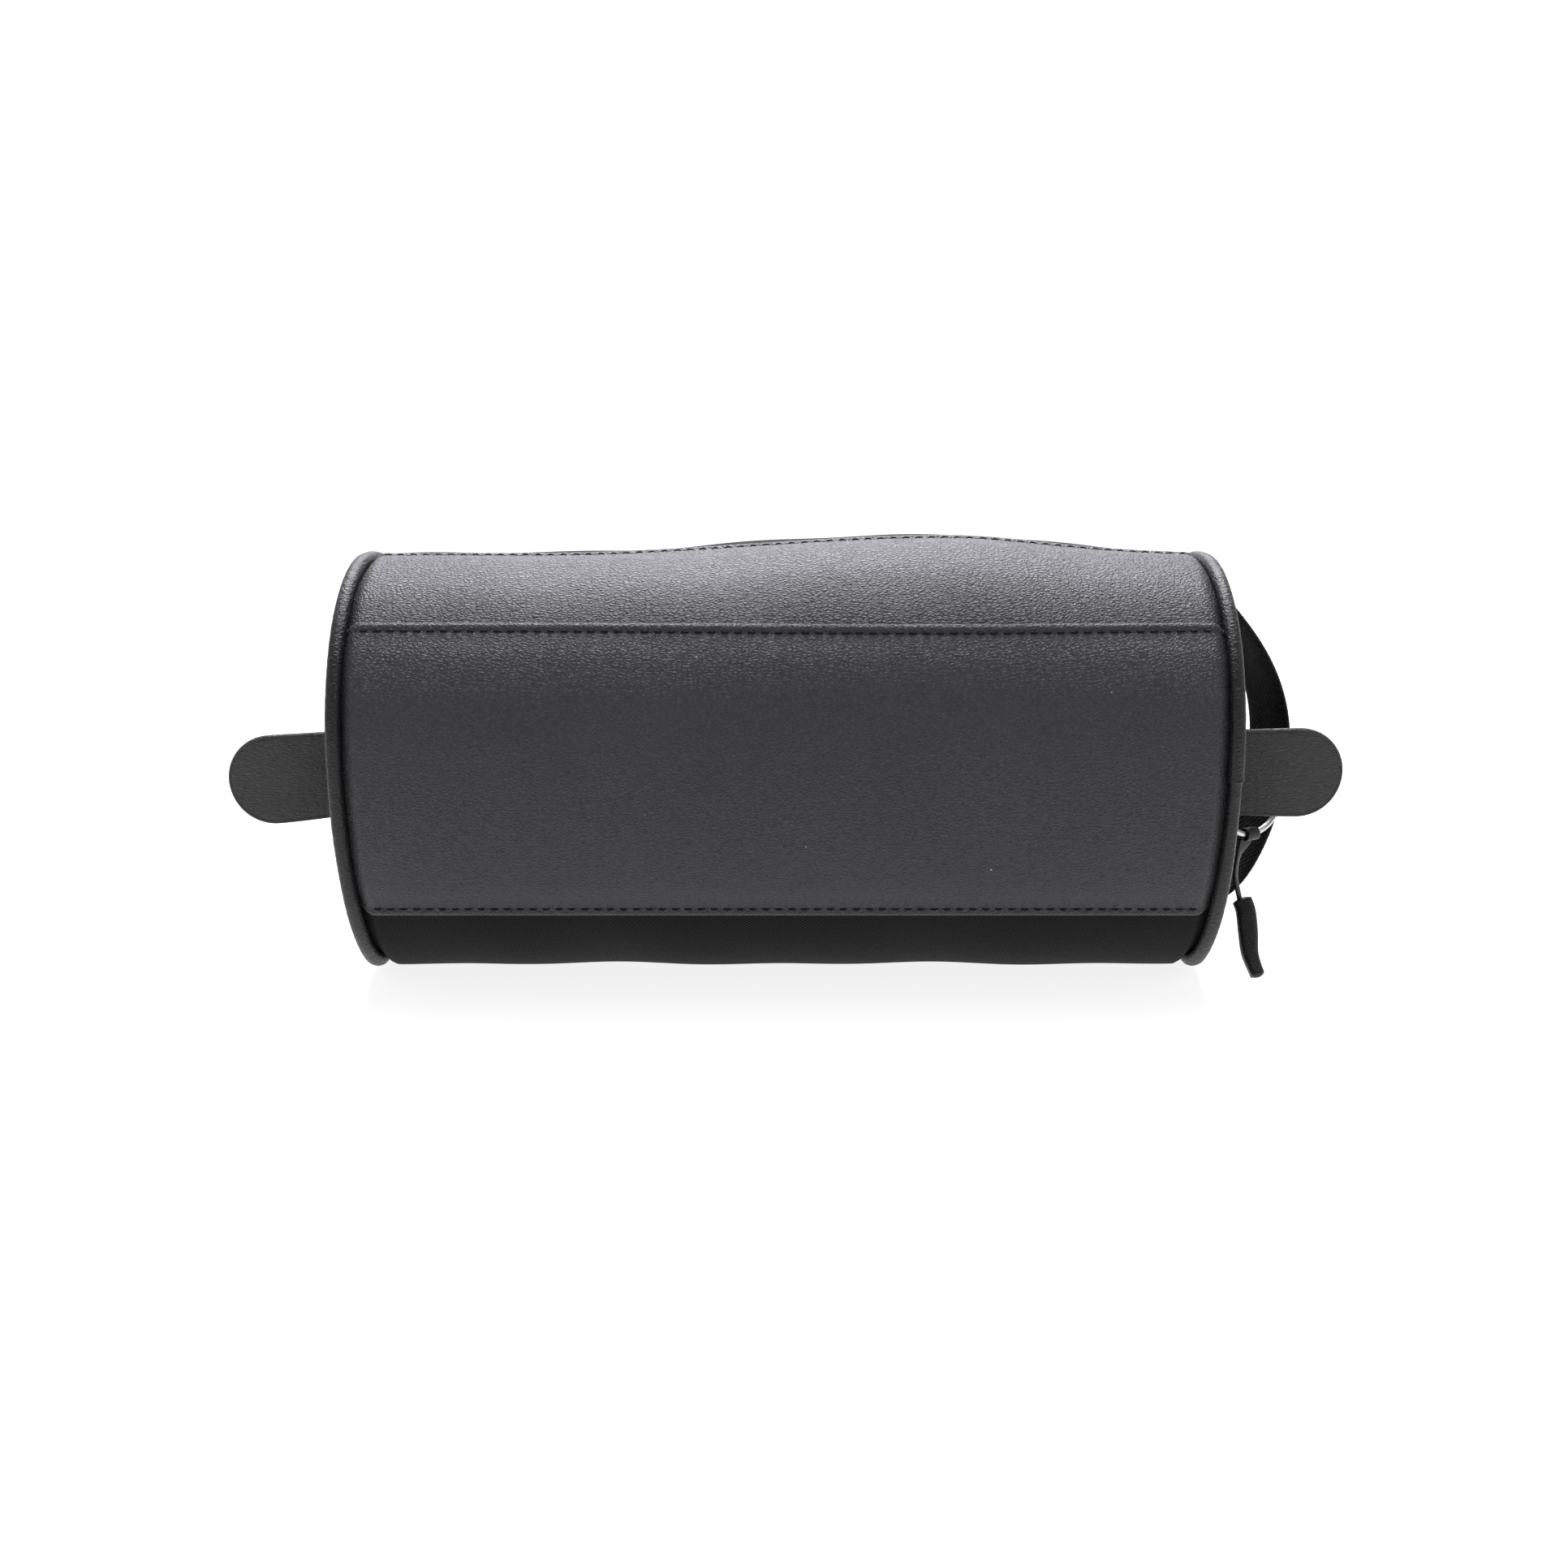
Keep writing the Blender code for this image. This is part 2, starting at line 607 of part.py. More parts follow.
# ---------------------------------------------------------------- tabs and handle

def tab_outline(root_x):
    """Return a tab's outline about where it bends: straight sides and a fully round end."""
    half = TAB_WIDTH / 2
    straight = TAB_END_X - root_x - TAB_HINGE - half
    outline = [(-TAB_HINGE, -half), (straight, -half)]
    for index in range(1, 12):
        turn = math.pi * (index / 12 - 0.5)
        outline.append((straight + half * math.cos(turn), half * math.sin(turn)))
    return outline + [(straight, half), (-TAB_HINGE, half)]


def build_tabs():
    """Make the grip tab at each end."""
    for word, side in SIDES:
        roll = LEFT_TAB_ROLL if side < 0 else 0.0
        root_x = end_x(TAB_Y, TAB_HEIGHT) + 2 * GAP + TAB_WIDTH / 2 * math.sin(roll)
        tab = plate(f"{word}_grip_tab", tab_outline(root_x), TAB, SMOOTH_LEATHER)
        tab.location = (side * (root_x + TAB_HINGE), TAB_Y, TAB_HEIGHT)
        tab.rotation_euler = (math.pi / 2, -roll, 0.0 if side > 0 else math.pi)


def handle_point(rise):
    """Return x, z and the bulge of the handle's near edge, for 0 at its foot to 1 at its head."""
    z = HANDLE_FOOT_HEIGHT + (HANDLE_HEAD_HEIGHT - HANDLE_FOOT_HEIGHT) * rise
    fullness = HANDLE_FOOT_FULLNESS + (HANDLE_HEAD_FULLNESS - HANDLE_FOOT_FULLNESS) * rise
    bulge = max(0.0, math.sin(math.pi * rise ** HANDLE_SKEW)) ** fullness
    foot = end_x(HANDLE_Y - HANDLE_WIDTH / 2, z) + HANDLE / 2 + 2 * GAP
    return foot + HANDLE_RISE * bulge, z, bulge


def build_handle():
    """Make the webbing handle that arches over the right end."""
    hinge_x, hinge_y = handle_point(0.0)[0], HANDLE_Y + HANDLE_WIDTH / 2

    def place(u, v):
        x, z, bulge = handle_point(u)
        return Vector((x - HANDLE_TILT * bulge * v - hinge_x, (v - 1.0) * HANDLE_WIDTH, z))

    strap = sheet("handle_strap", 22, 2, place, HANDLE, WEBBING, 0.0)
    strap.location = (hinge_x, hinge_y, 0.0)


clear_scene()
BAG = new_collection("shaving_kit_bag")
CUTTERS = new_collection("cutters")
SIDES = (("left", -1), ("right", 1))
SMOOTH_LEATHER = material("charcoal_leather", (0.045, 0.045, 0.048), 0.5)
BLACK_CANVAS = material("black_canvas", (0.012, 0.012, 0.013), 0.85)
LINING_CLOTH = material("lining_cloth", (0.02, 0.02, 0.022), 0.8)
BLACK_TAPE = material("zip_tape", (0.01, 0.01, 0.011), 0.85)
COIL_NYLON = material("coil_nylon", (0.01, 0.01, 0.01), 0.4)
WEBBING = material("webbing", (0.012, 0.012, 0.012), 0.8)
NICKEL = material("nickel", (0.6, 0.6, 0.58), 0.25, 1.0)
build_panels()
build_ends()
build_piping()
build_zip()
build_slider()
build_tabs()
build_handle()
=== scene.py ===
"""Looks of a soft shaving kit bag that lies on its front panel.

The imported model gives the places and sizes. Every sewn part is laid again here as fine cloth or
leather on the bag's rounded section, with its folds, stitches, piping, webbing and zip coils.
All lengths are in metres, in the model's own frame: X along the bag, -Y the base, +Z the back.
"""

import logging
import math
from collections.abc import Callable, Iterable, Sequence
from dataclasses import dataclass, field
from enum import Enum

import bpy
import numpy as np
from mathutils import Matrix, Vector


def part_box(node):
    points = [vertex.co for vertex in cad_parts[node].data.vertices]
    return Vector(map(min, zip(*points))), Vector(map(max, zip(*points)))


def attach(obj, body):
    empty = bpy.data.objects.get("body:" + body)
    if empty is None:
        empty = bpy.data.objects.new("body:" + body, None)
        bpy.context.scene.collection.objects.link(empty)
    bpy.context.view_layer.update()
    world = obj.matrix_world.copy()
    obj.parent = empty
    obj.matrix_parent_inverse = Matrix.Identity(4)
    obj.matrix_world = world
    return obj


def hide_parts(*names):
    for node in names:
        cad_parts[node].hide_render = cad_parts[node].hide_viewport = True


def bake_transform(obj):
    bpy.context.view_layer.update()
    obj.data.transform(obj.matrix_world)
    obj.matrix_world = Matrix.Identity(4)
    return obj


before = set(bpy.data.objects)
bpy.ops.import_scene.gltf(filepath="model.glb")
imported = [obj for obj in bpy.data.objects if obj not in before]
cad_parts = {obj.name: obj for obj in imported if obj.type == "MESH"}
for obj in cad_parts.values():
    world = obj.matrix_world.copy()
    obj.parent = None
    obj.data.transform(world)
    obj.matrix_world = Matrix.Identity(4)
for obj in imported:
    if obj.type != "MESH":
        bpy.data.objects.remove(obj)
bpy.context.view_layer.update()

LOG = logging.getLogger("shaving_kit_bag")
MM = 0.001
Number = float | int


# ------------------------------------------------------------------ shader maths

class Wire:
    """A value that runs between shader nodes, with the usual arithmetic."""

    def __init__(self, recipe: "Recipe", socket: bpy.types.NodeSocket) -> None:
        """Hold the output socket and the recipe that owns it."""
        self.recipe = recipe
        self.socket = socket

    def __add__(self, other: "Wire | Number") -> "Wire":
        """Return self + other."""
        return self.recipe.math("ADD", self, other)

    __radd__ = __add__

    def __sub__(self, other: "Wire | Number") -> "Wire":
        """Return self - other."""
        return self.recipe.math("SUBTRACT", self, other)

    def __rsub__(self, other: "Wire | Number") -> "Wire":
        """Return other - self."""
        return self.recipe.math("SUBTRACT", other, self)

    def __mul__(self, other: "Wire | Number") -> "Wire":
        """Return self * other."""
        return self.recipe.math("MULTIPLY", self, other)

    __rmul__ = __mul__

    def __truediv__(self, other: "Wire | Number") -> "Wire":
        """Return self / other."""
        return self.recipe.math("DIVIDE", self, other)

    def __pow__(self, other: "Wire | Number") -> "Wire":
        """Return self to a power."""
        return self.recipe.math("POWER", self, other)

    def clamp(self) -> "Wire":
        """Return the value kept from 0 to 1."""
        return self.recipe.math("MINIMUM", self.recipe.math("MAXIMUM", self, 0.0), 1.0)


Value = Wire | Number | tuple


class Recipe:
    """Builds one material's nodes."""

    def __init__(self, name: str) -> None:
        """Start a material that has only a Principled shader and its output."""
        self.material = bpy.data.materials.new(name)
        self.material.use_nodes = True
        self.tree = self.material.node_tree
        self.shader = self.tree.nodes["Principled BSDF"]

    def node(self, kind: str, settings: dict, inputs: dict[str | int, Value]) -> bpy.types.Node:
        """Add a node.

        Args:
            kind: the node's type, such as ShaderNodeTexNoise.
            settings: its own settings, which are set first.
            inputs: values or wires for its input sockets.

        Returns:
            The new node.
        """
        made = self.tree.nodes.new(kind)
        for key, value in settings.items():
            setattr(made, key, value)
        for key, value in inputs.items():
            self.feed(made.inputs[key], value)
        return made

    def feed(self, socket: bpy.types.NodeSocket, value: Value) -> None:
        """Link a wire to a socket, or set the socket's own value."""
        if isinstance(value, Wire):
            self.tree.links.new(value.socket, socket)
        else:
            socket.default_value = value

    def math(self, operation: str, *values: "Wire | Number") -> Wire:
        """Return the result of a Math node."""
        made = self.node("ShaderNodeMath", {"operation": operation}, dict(enumerate(values)))
        return Wire(self, made.outputs[0])

    def mix(self, share: Value, first: Value, second: Value) -> Wire:
        """Return a colour between two colours."""
        made = self.node("ShaderNodeMix", {"data_type": "RGBA"}, {0: share, 6: first, 7: second})
        return Wire(self, made.outputs[2])

    def vector(self, operation: str, first: Value, second: Value) -> Wire:
        """Return the result of a Vector Math node."""
        made = self.node("ShaderNodeVectorMath", {"operation": operation}, {0: first, 1: second})
        return Wire(self, made.outputs[0])

    def place(self) -> Wire:
        """Return the point on the surface in the object's own metres."""
        return Wire(self, self.node("ShaderNodeTexCoord", {}, {}).outputs["Object"])

    def cloth(self) -> tuple[Wire, Wire]:
        """Return the place along and across the cloth, in metres."""
        laid = self.node("ShaderNodeUVMap", {"uv_map": "cloth"}, {})
        split = self.node("ShaderNodeSeparateXYZ", {}, {0: Wire(self, laid.outputs[0])})
        return Wire(self, split.outputs[0]), Wire(self, split.outputs[1])

    def noise(self, place: Wire, scale: float, detail: float = 2.0) -> Wire:
        """Return soft noise from 0 to 1."""
        made = self.node("ShaderNodeTexNoise", {}, {"Vector": place, "Scale": scale, "Detail": detail})
        return Wire(self, made.outputs["Fac"])

    def ramp(self, value: Wire, low: float, high: float) -> Wire:
        """Return 0 below low, 1 above high, and a smooth rise between."""
        made = self.node("ShaderNodeMapRange", {"interpolation_type": "SMOOTHSTEP"},
                         {"Value": value, "From Min": low, "From Max": high})
        return Wire(self, made.outputs[0])

    def relief(self, height: Wire, distance: float, under: Wire | None = None) -> Wire:
        """Return a normal bumped by a height, on top of another normal if one is given."""
        inputs: dict[str | int, Value] = {"Height": height, "Distance": distance, "Strength": 1.0}
        if under is not None:
            inputs["Normal"] = under
        return Wire(self, self.node("ShaderNodeBump", {}, inputs).outputs[0])

    def dress(self, **values: Value) -> bpy.types.Material:
        """Set the shader's sockets, named with underscores, and return the material."""
        for key, value in values.items():
            self.feed(self.shader.inputs[key.replace("_", " ")], value)
        return self.material


def shade(value: float, tint: tuple[float, float, float] = (1.0, 1.0, 1.0)) -> tuple:
    """Return a grey of this linear value, tinted, with full alpha."""
    return (value * tint[0], value * tint[1], value * tint[2], 1.0)


# ------------------------------------------------------------------ finishes

@dataclass(frozen=True)
class Leather:
    """Charcoal imitation leather with a fine pressed grain.

    The grain runs a little longer along the bag than across it.
    """

    name: str
    grey: float = 0.024
    roughness: float = 0.44
    grain: float = 0.00095
    depth: float = 0.00030
    lint: bool = False
    stretch: float = 0.62
    gloss: float = 0.5
    tint: tuple[float, float, float] = (1.0, 0.98, 1.16)
    dark: float = 0.72
    pale: float = 1.3
    lint_grey: float = 0.42

    def material(self) -> bpy.types.Material:
        """Return the finish as a material."""
        recipe = Recipe(self.name)
        place = recipe.place()
        grains = (self.stretch / self.grain, 1 / self.grain, 1 / self.grain)
        stretch = recipe.vector("MULTIPLY", place, grains)
        wander = recipe.node("ShaderNodeTexNoise", {}, {"Vector": stretch, "Scale": 0.9, "Detail": 1.0})
        shift = recipe.vector("MULTIPLY", Wire(recipe, wander.outputs["Color"]), (0.9, 0.9, 0.9))
        bent = recipe.vector("ADD", stretch, shift)
        cells = recipe.node("ShaderNodeTexVoronoi", {"feature": "DISTANCE_TO_EDGE"},
                            {"Vector": bent, "Scale": 1.0})
        pebble = recipe.ramp(Wire(recipe, cells.outputs["Distance"]), 0.0, 0.32)
        fine = recipe.noise(stretch, 2.6, 3.0)
        broad = recipe.noise(place, 26.0, 3.0)
        patches = recipe.noise(place, 300.0, 2.0)
        height = pebble * (0.35 + patches) + fine * 0.6
        tone = (0.30 * pebble + 0.45 * broad + 0.25 * patches).clamp()
        color = recipe.mix(tone, shade(self.grey * self.dark, self.tint),
                           shade(self.grey * self.pale, self.tint))
        if self.lint:
            color = recipe.mix(self.specks(recipe, place), color, shade(self.lint_grey))
        rough = self.roughness - 0.06 + 0.10 * fine + 0.08 * (1 - pebble) - 0.04 * broad
        return recipe.dress(Base_Color=color, Roughness=rough, Specular_IOR_Level=self.gloss,
                            Normal=recipe.relief(height, self.depth))

    def specks(self, recipe: Recipe, place: Wire) -> Wire:
        """Return a mask of a few short, pale fibres of lint."""
        thin = recipe.vector("MULTIPLY", place, (120.0, 120.0, 75.0))
        cells = recipe.node("ShaderNodeTexVoronoi", {"feature": "F1"}, {"Vector": thin, "Scale": 1.0})
        near = 1 - recipe.ramp(Wire(recipe, cells.outputs["Distance"]), 0.022, 0.042)
        split = recipe.node("ShaderNodeSeparateXYZ", {}, {0: Wire(recipe, cells.outputs["Color"])})
        return near * recipe.math("GREATER_THAN", Wire(recipe, split.outputs[0]), 0.62) * 0.8


@dataclass(frozen=True)
class Weave:
    """Black cloth of crossing yarns: canvas, lining, zip tape and webbing."""

    name: str
    grey: float = 0.0020
    light: float = 0.0065
    along: float = 0.00075
    across: float = 0.00075
    depth: float = 0.00030
    roughness: float = 0.74
    sheen: float = 0.03
    gloss: float = 0.09

    def material(self) -> bpy.types.Material:
        """Return the finish as a material."""
        recipe = Recipe(self.name)
        u, v = recipe.cloth()
        place = recipe.place()
        drift = (recipe.noise(place, 420.0, 2.0) - 0.5) * 0.9
        warp = recipe.math("SINE", u * (math.pi / self.along) + drift)
        weft = recipe.math("SINE", v * (math.pi / self.across) + drift)
        knot = 0.5 + 0.5 * warp * weft
        yarn = knot ** 0.7
        fibre = recipe.noise(place, 5200.0, 2.0)
        slub = recipe.noise(place, 160.0, 3.0)
        # Painted shade and highlight: the yarn pattern darkens the gaps between yarns and lightens the
        # yarn tops, on top of the yarns' own uneven tone from slub and fibre.
        tone = (yarn * (0.55 + 0.6 * slub) * (0.75 + 0.5 * fibre)).clamp()
        color = recipe.mix(tone, shade(self.grey), shade(self.light, (1.0, 1.0, 1.06)))
        height = yarn + 0.25 * fibre + 0.4 * slub
        return recipe.dress(Base_Color=color, Roughness=self.roughness - 0.12 * yarn + 0.1 * fibre,
                            Sheen_Weight=self.sheen, Sheen_Roughness=0.45,
                            Specular_IOR_Level=self.gloss,
                            Normal=recipe.relief(height, self.depth))


@dataclass(frozen=True)
class Thread:
    """Waxed black sewing thread, twisted from three plies."""

    name: str = "black_thread"
    strand: float = 0.55 * MM
    twist: float = 1.6 * MM
    dark: float = 0.0015
    pale: float = 0.006

    def material(self) -> bpy.types.Material:
        """Return the finish as a material."""
        recipe = Recipe(self.name)
        u, v = recipe.cloth()
        turn = u * (math.tau / self.strand) + v * (3 * math.tau / self.twist)
        ply = 0.5 + 0.5 * recipe.math("SINE", turn)
        fuzz = recipe.noise(recipe.place(), 4000.0, 2.0)
        color = recipe.mix(ply * (0.6 + 0.4 * fuzz), shade(self.dark), shade(self.pale))
        return recipe.dress(Base_Color=color, Roughness=0.52 + 0.12 * fuzz, Specular_IOR_Level=0.2,
                            Normal=recipe.relief(ply + 0.2 * fuzz, 0.00006))


@dataclass(frozen=True)
class Nickel:
    """Bright nickel plate with fine scuffs."""

    name: str = "nickel_plate"

    def material(self) -> bpy.types.Material:
        """Return the finish as a material."""
        recipe = Recipe(self.name)
        place = recipe.place()
        scuff = recipe.noise(recipe.vector("MULTIPLY", place, (900.0, 5200.0, 900.0)), 1.0, 3.0)
        cloud = recipe.noise(place, 260.0, 3.0)
        color = recipe.mix(cloud, shade(0.52, (1.0, 0.99, 0.95)), shade(0.66, (1.0, 0.99, 0.96)))
        rough = 0.20 + 0.14 * scuff + 0.08 * cloud
        return recipe.dress(Base_Color=color, Metallic=1.0, Roughness=rough,
                            Normal=recipe.relief(scuff, 0.000012))


@dataclass(frozen=True)
class Nylon:
    """Moulded black nylon of the zip's coils."""

    name: str = "coil_nylon"

    def material(self) -> bpy.types.Material:
        """Return the finish as a material."""
        recipe = Recipe(self.name)
        grain = recipe.noise(recipe.place(), 2600.0, 2.0)
        color = recipe.mix(grain, shade(0.010), shade(0.020))
        return recipe.dress(Base_Color=color, Roughness=0.30 + 0.16 * grain,
                            Normal=recipe.relief(grain, 0.00002))


@dataclass(frozen=True)
class Backdrop:
    """Plain pale paper that glows a little, so that it stays even far from the lights."""

    name: str = "pale_paper"
    glow: float = 0.86
    grey: float = 0.34

    def material(self) -> bpy.types.Material:
        """Return the finish as a material."""
        recipe = Recipe(self.name)
        return recipe.dress(Base_Color=shade(self.grey), Roughness=0.8, Specular_IOR_Level=0.0,
                            Emission_Color=shade(1.0), Emission_Strength=self.glow)


PANEL_LEATHER = Leather("panel_leather", lint=True)
PIPING_LEATHER = Leather("piping_leather", grey=0.013, roughness=0.42, gloss=0.34, grain=0.0012,
                         depth=0.00016, tint=(1.0, 1.0, 0.97))
TAB_LEATHER = Leather("tab_leather", grey=0.026, roughness=0.48, grain=0.0007, depth=0.00022,
                      stretch=0.25, tint=(1.0, 1.0, 1.0))
PULL_LEATHER = Leather("pull_leather", grey=0.009, roughness=0.36, gloss=0.35, grain=0.0009,
                       depth=0.00008, tint=(1.0, 1.0, 1.0))
CANVAS = Weave("black_canvas")
LINING_CLOTH = Weave("lining_cloth", grey=0.008, light=0.018, along=0.0003, across=0.0003,
                     depth=0.00005, roughness=0.6, sheen=0.05)
TAPE_CLOTH = Weave("zip_tape_cloth", grey=0.004, light=0.014, along=0.0007, across=0.0004, depth=0.0001)
WEBBING = Weave("webbing", grey=0.0015, light=0.024, along=0.00105, across=0.0010, depth=0.00035,
                gloss=0.35)
THREAD = Thread()
NICKEL = Nickel()
NYLON = Nylon()


# ------------------------------------------------------------------ meshes

Points = np.ndarray
THINNEST = 1e-6          # keeps a rod's thickness above nothing


def unit(vectors: Points) -> Points:
    """Return vectors with length 1."""
    return vectors / np.maximum(np.linalg.norm(vectors, axis=-1, keepdims=True), 1e-12)


def smooth(value: Points, low: float, high: float) -> Points:
    """Return a smooth step from 0 at low to 1 at high."""
    share = np.clip((np.asarray(value) - low) / (high - low), 0.0, 1.0)
    return share * share * (3 - 2 * share)


def hump(value: Points, middle: float, width: float) -> Points:
    """Return a rounded hump of height 1 at the middle."""
    return np.exp(-((np.asarray(value) - middle) / width) ** 2)


def travel(points: Points) -> Points:
    """Return how far along a line each of its points is."""
    steps = np.linalg.norm(np.diff(points, axis=0), axis=1)
    return np.concatenate([[0.0], np.cumsum(steps)])


def pick(want: Points, run: Points, points: Points) -> Points:
    """Return the places on a line at wanted distances along it.

    Args:
        want: the wanted distances.
        run: how far along each of the line's points is.
        points: the line's points.

    Returns:
        One place for each distance.
    """
    return np.stack([np.interp(want, run, points[:, axis]) for axis in range(points.shape[1])], -1)


def crossed(rows: Points, columns: Points) -> Points:
    """Return every pair of a row's value and a column's value, as a grid."""
    return np.stack(np.broadcast_arrays(rows[:, None], columns[None, :]), -1)


def signed_power(value: Points, power: float) -> Points:
    """Return a value's size to a power, with its sign kept."""
    return np.sign(value) * np.abs(value) ** power


class Cloth:
    """A mesh being laid, with a map that holds the cloth's own metres."""

    def __init__(self) -> None:
        """Start with nothing laid."""
        self.points: list[Points] = []
        self.faces: list[tuple[int, ...]] = []
        self.places: list[Points] = []
        self.count = 0

    def grid(self, points: Points, laid: Points, closed: bool = False) -> int:
        """Add a grid of faces.

        Args:
            points: rows by columns by 3.
            laid: the cloth's place at each point, with one more column if closed.
            closed: True joins the last column to the first.

        Returns:
            The index of the grid's first point.
        """
        rows, columns = points.shape[:2]
        reach = columns if closed else columns - 1
        row, column = np.meshgrid(np.arange(rows - 1), np.arange(reach), indexing="ij")
        after = (column + 1) % columns
        corners = np.stack([row * columns + column, row * columns + after,
                            (row + 1) * columns + after, (row + 1) * columns + column], -1)
        places = np.stack([laid[row, column], laid[row, column + 1],
                           laid[row + 1, column + 1], laid[row + 1, column]], -2)
        first = self.count
        self.faces.extend(tuple(corner) for corner in (corners.reshape(-1, 4) + first).tolist())
        self.places.append(places.reshape(-1, 2))
        self.points.append(points.reshape(-1, 3))
        self.count += rows * columns
        return first

    def cap(self, ring: Sequence[int]) -> None:
        """Close a ring of points with one face."""
        self.faces.append(tuple(ring))
        self.places.append(np.zeros((len(ring), 2)))

    def tube(self, path: Points, wide: Points | float, tall: Points | float, lean: Points,
             sides: int = 12, square: float = 2.0, ridge: Callable | None = None) -> None:
        """Add a rod or strap along a path.

        Args:
            path: the middle line, as points.
            wide: half the width, across the lean.
            tall: half the thickness, along the lean.
            lean: the direction of the thickness, one for all or one for each point.
            sides: how many points go round it.
            square: 2 is an ellipse and more is boxier.
            ridge: gives an extra lift for the distance along and the turn round.
        """
        path = np.asarray(path, float)
        along = unit(np.gradient(path, axis=0))
        lean = np.broadcast_to(np.asarray(lean, float), path.shape)
        side = unit(np.cross(lean, along))
        up = unit(np.cross(along, side))
        turn = np.arange(sides) * math.tau / sides
        across = signed_power(np.cos(turn), 2 / square)
        rise = signed_power(np.sin(turn), 2 / square)
        wide = np.broadcast_to(wide, len(path))[:, None]
        tall = np.broadcast_to(tall, len(path))[:, None]
        run = travel(path)
        extra = ridge(run[:, None], turn[None, :]) if ridge else np.zeros((len(path), sides))
        scale = 1 + extra / np.maximum(np.minimum(wide, tall), THINNEST)
        scale_wide = 1 + extra / np.maximum(wide, THINNEST)
        rings = (path[:, None] + side[:, None] * (wide * across * scale_wide)[..., None]
                 + up[:, None] * (tall * rise * scale)[..., None])
        around = travel(np.concatenate([rings[0], rings[0][:1]]))
        first = self.grid(rings, crossed(run, around), closed=True)
        last = first + (len(path) - 1) * sides
        self.cap([first + k for k in range(sides)][::-1])
        self.cap([last + k for k in range(sides)])

    def make(self, name: str, paint: bpy.types.Material, sharp: float = 55.0) -> bpy.types.Object:
        """Return the laid cloth as an object.

        Args:
            name: the object's name.
            paint: its material.
            sharp: edges bent more than this, in degrees, stay sharp.

        Returns:
            The new object, linked to the scene.
        """
        mesh = bpy.data.meshes.new(name)
        mesh.from_pydata(np.concatenate(self.points).tolist(), [], self.faces)
        layer = mesh.uv_layers.new(name="cloth")
        layer.data.foreach_set("uv", np.concatenate(self.places).astype(np.float32).ravel())
        mesh.materials.append(paint)
        mesh.shade_smooth()
        mesh.set_sharp_from_angle(angle=math.radians(sharp))
        made = bpy.data.objects.new(name, mesh)
        bpy.context.scene.collection.objects.link(made)
        return made


class Place(Enum):
    """The bodies that the pieces ride on."""

    BAG = "bag"
    LID = "lid"
    SLIDER = "slider"
    RING = "ring"
    PULL = "pull"
    LEFT_TAB = "left_tab"
    RIGHT_TAB = "right_tab"
    HANDLE = "handle"


class Slot(Enum):
    """The record's material slots."""

    LEATHER = "smooth_leather"
    CANVAS = "canvas"
    LINING = "lining"
    TAPE = "zip_tape"
    WEBBING = "webbing"
    COIL = "coil_nylon"
    NICKEL = "nickel"


def keep(piece: bpy.types.Object, where: Place,
         stands_for: Iterable[str] = ()) -> None:
    """Let a piece ride on one body and hide the model's nodes that it stands for."""
    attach(piece, where.value)
    finish_piece(stands_for)


def bend(piece: bpy.types.Object, stands_for: Iterable[str] = ()) -> None:
    """Bake the piece's place into its mesh and hide the model's nodes that it stands for."""
    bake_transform(piece)
    finish_piece(stands_for)


def finish_piece(stands_for: Iterable[str]) -> None:
    """Hide the model's nodes that the piece stands for."""
    nodes = list(stands_for)
    if nodes:
        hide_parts(*nodes)


# ------------------------------------------------------------------ the bag's shape

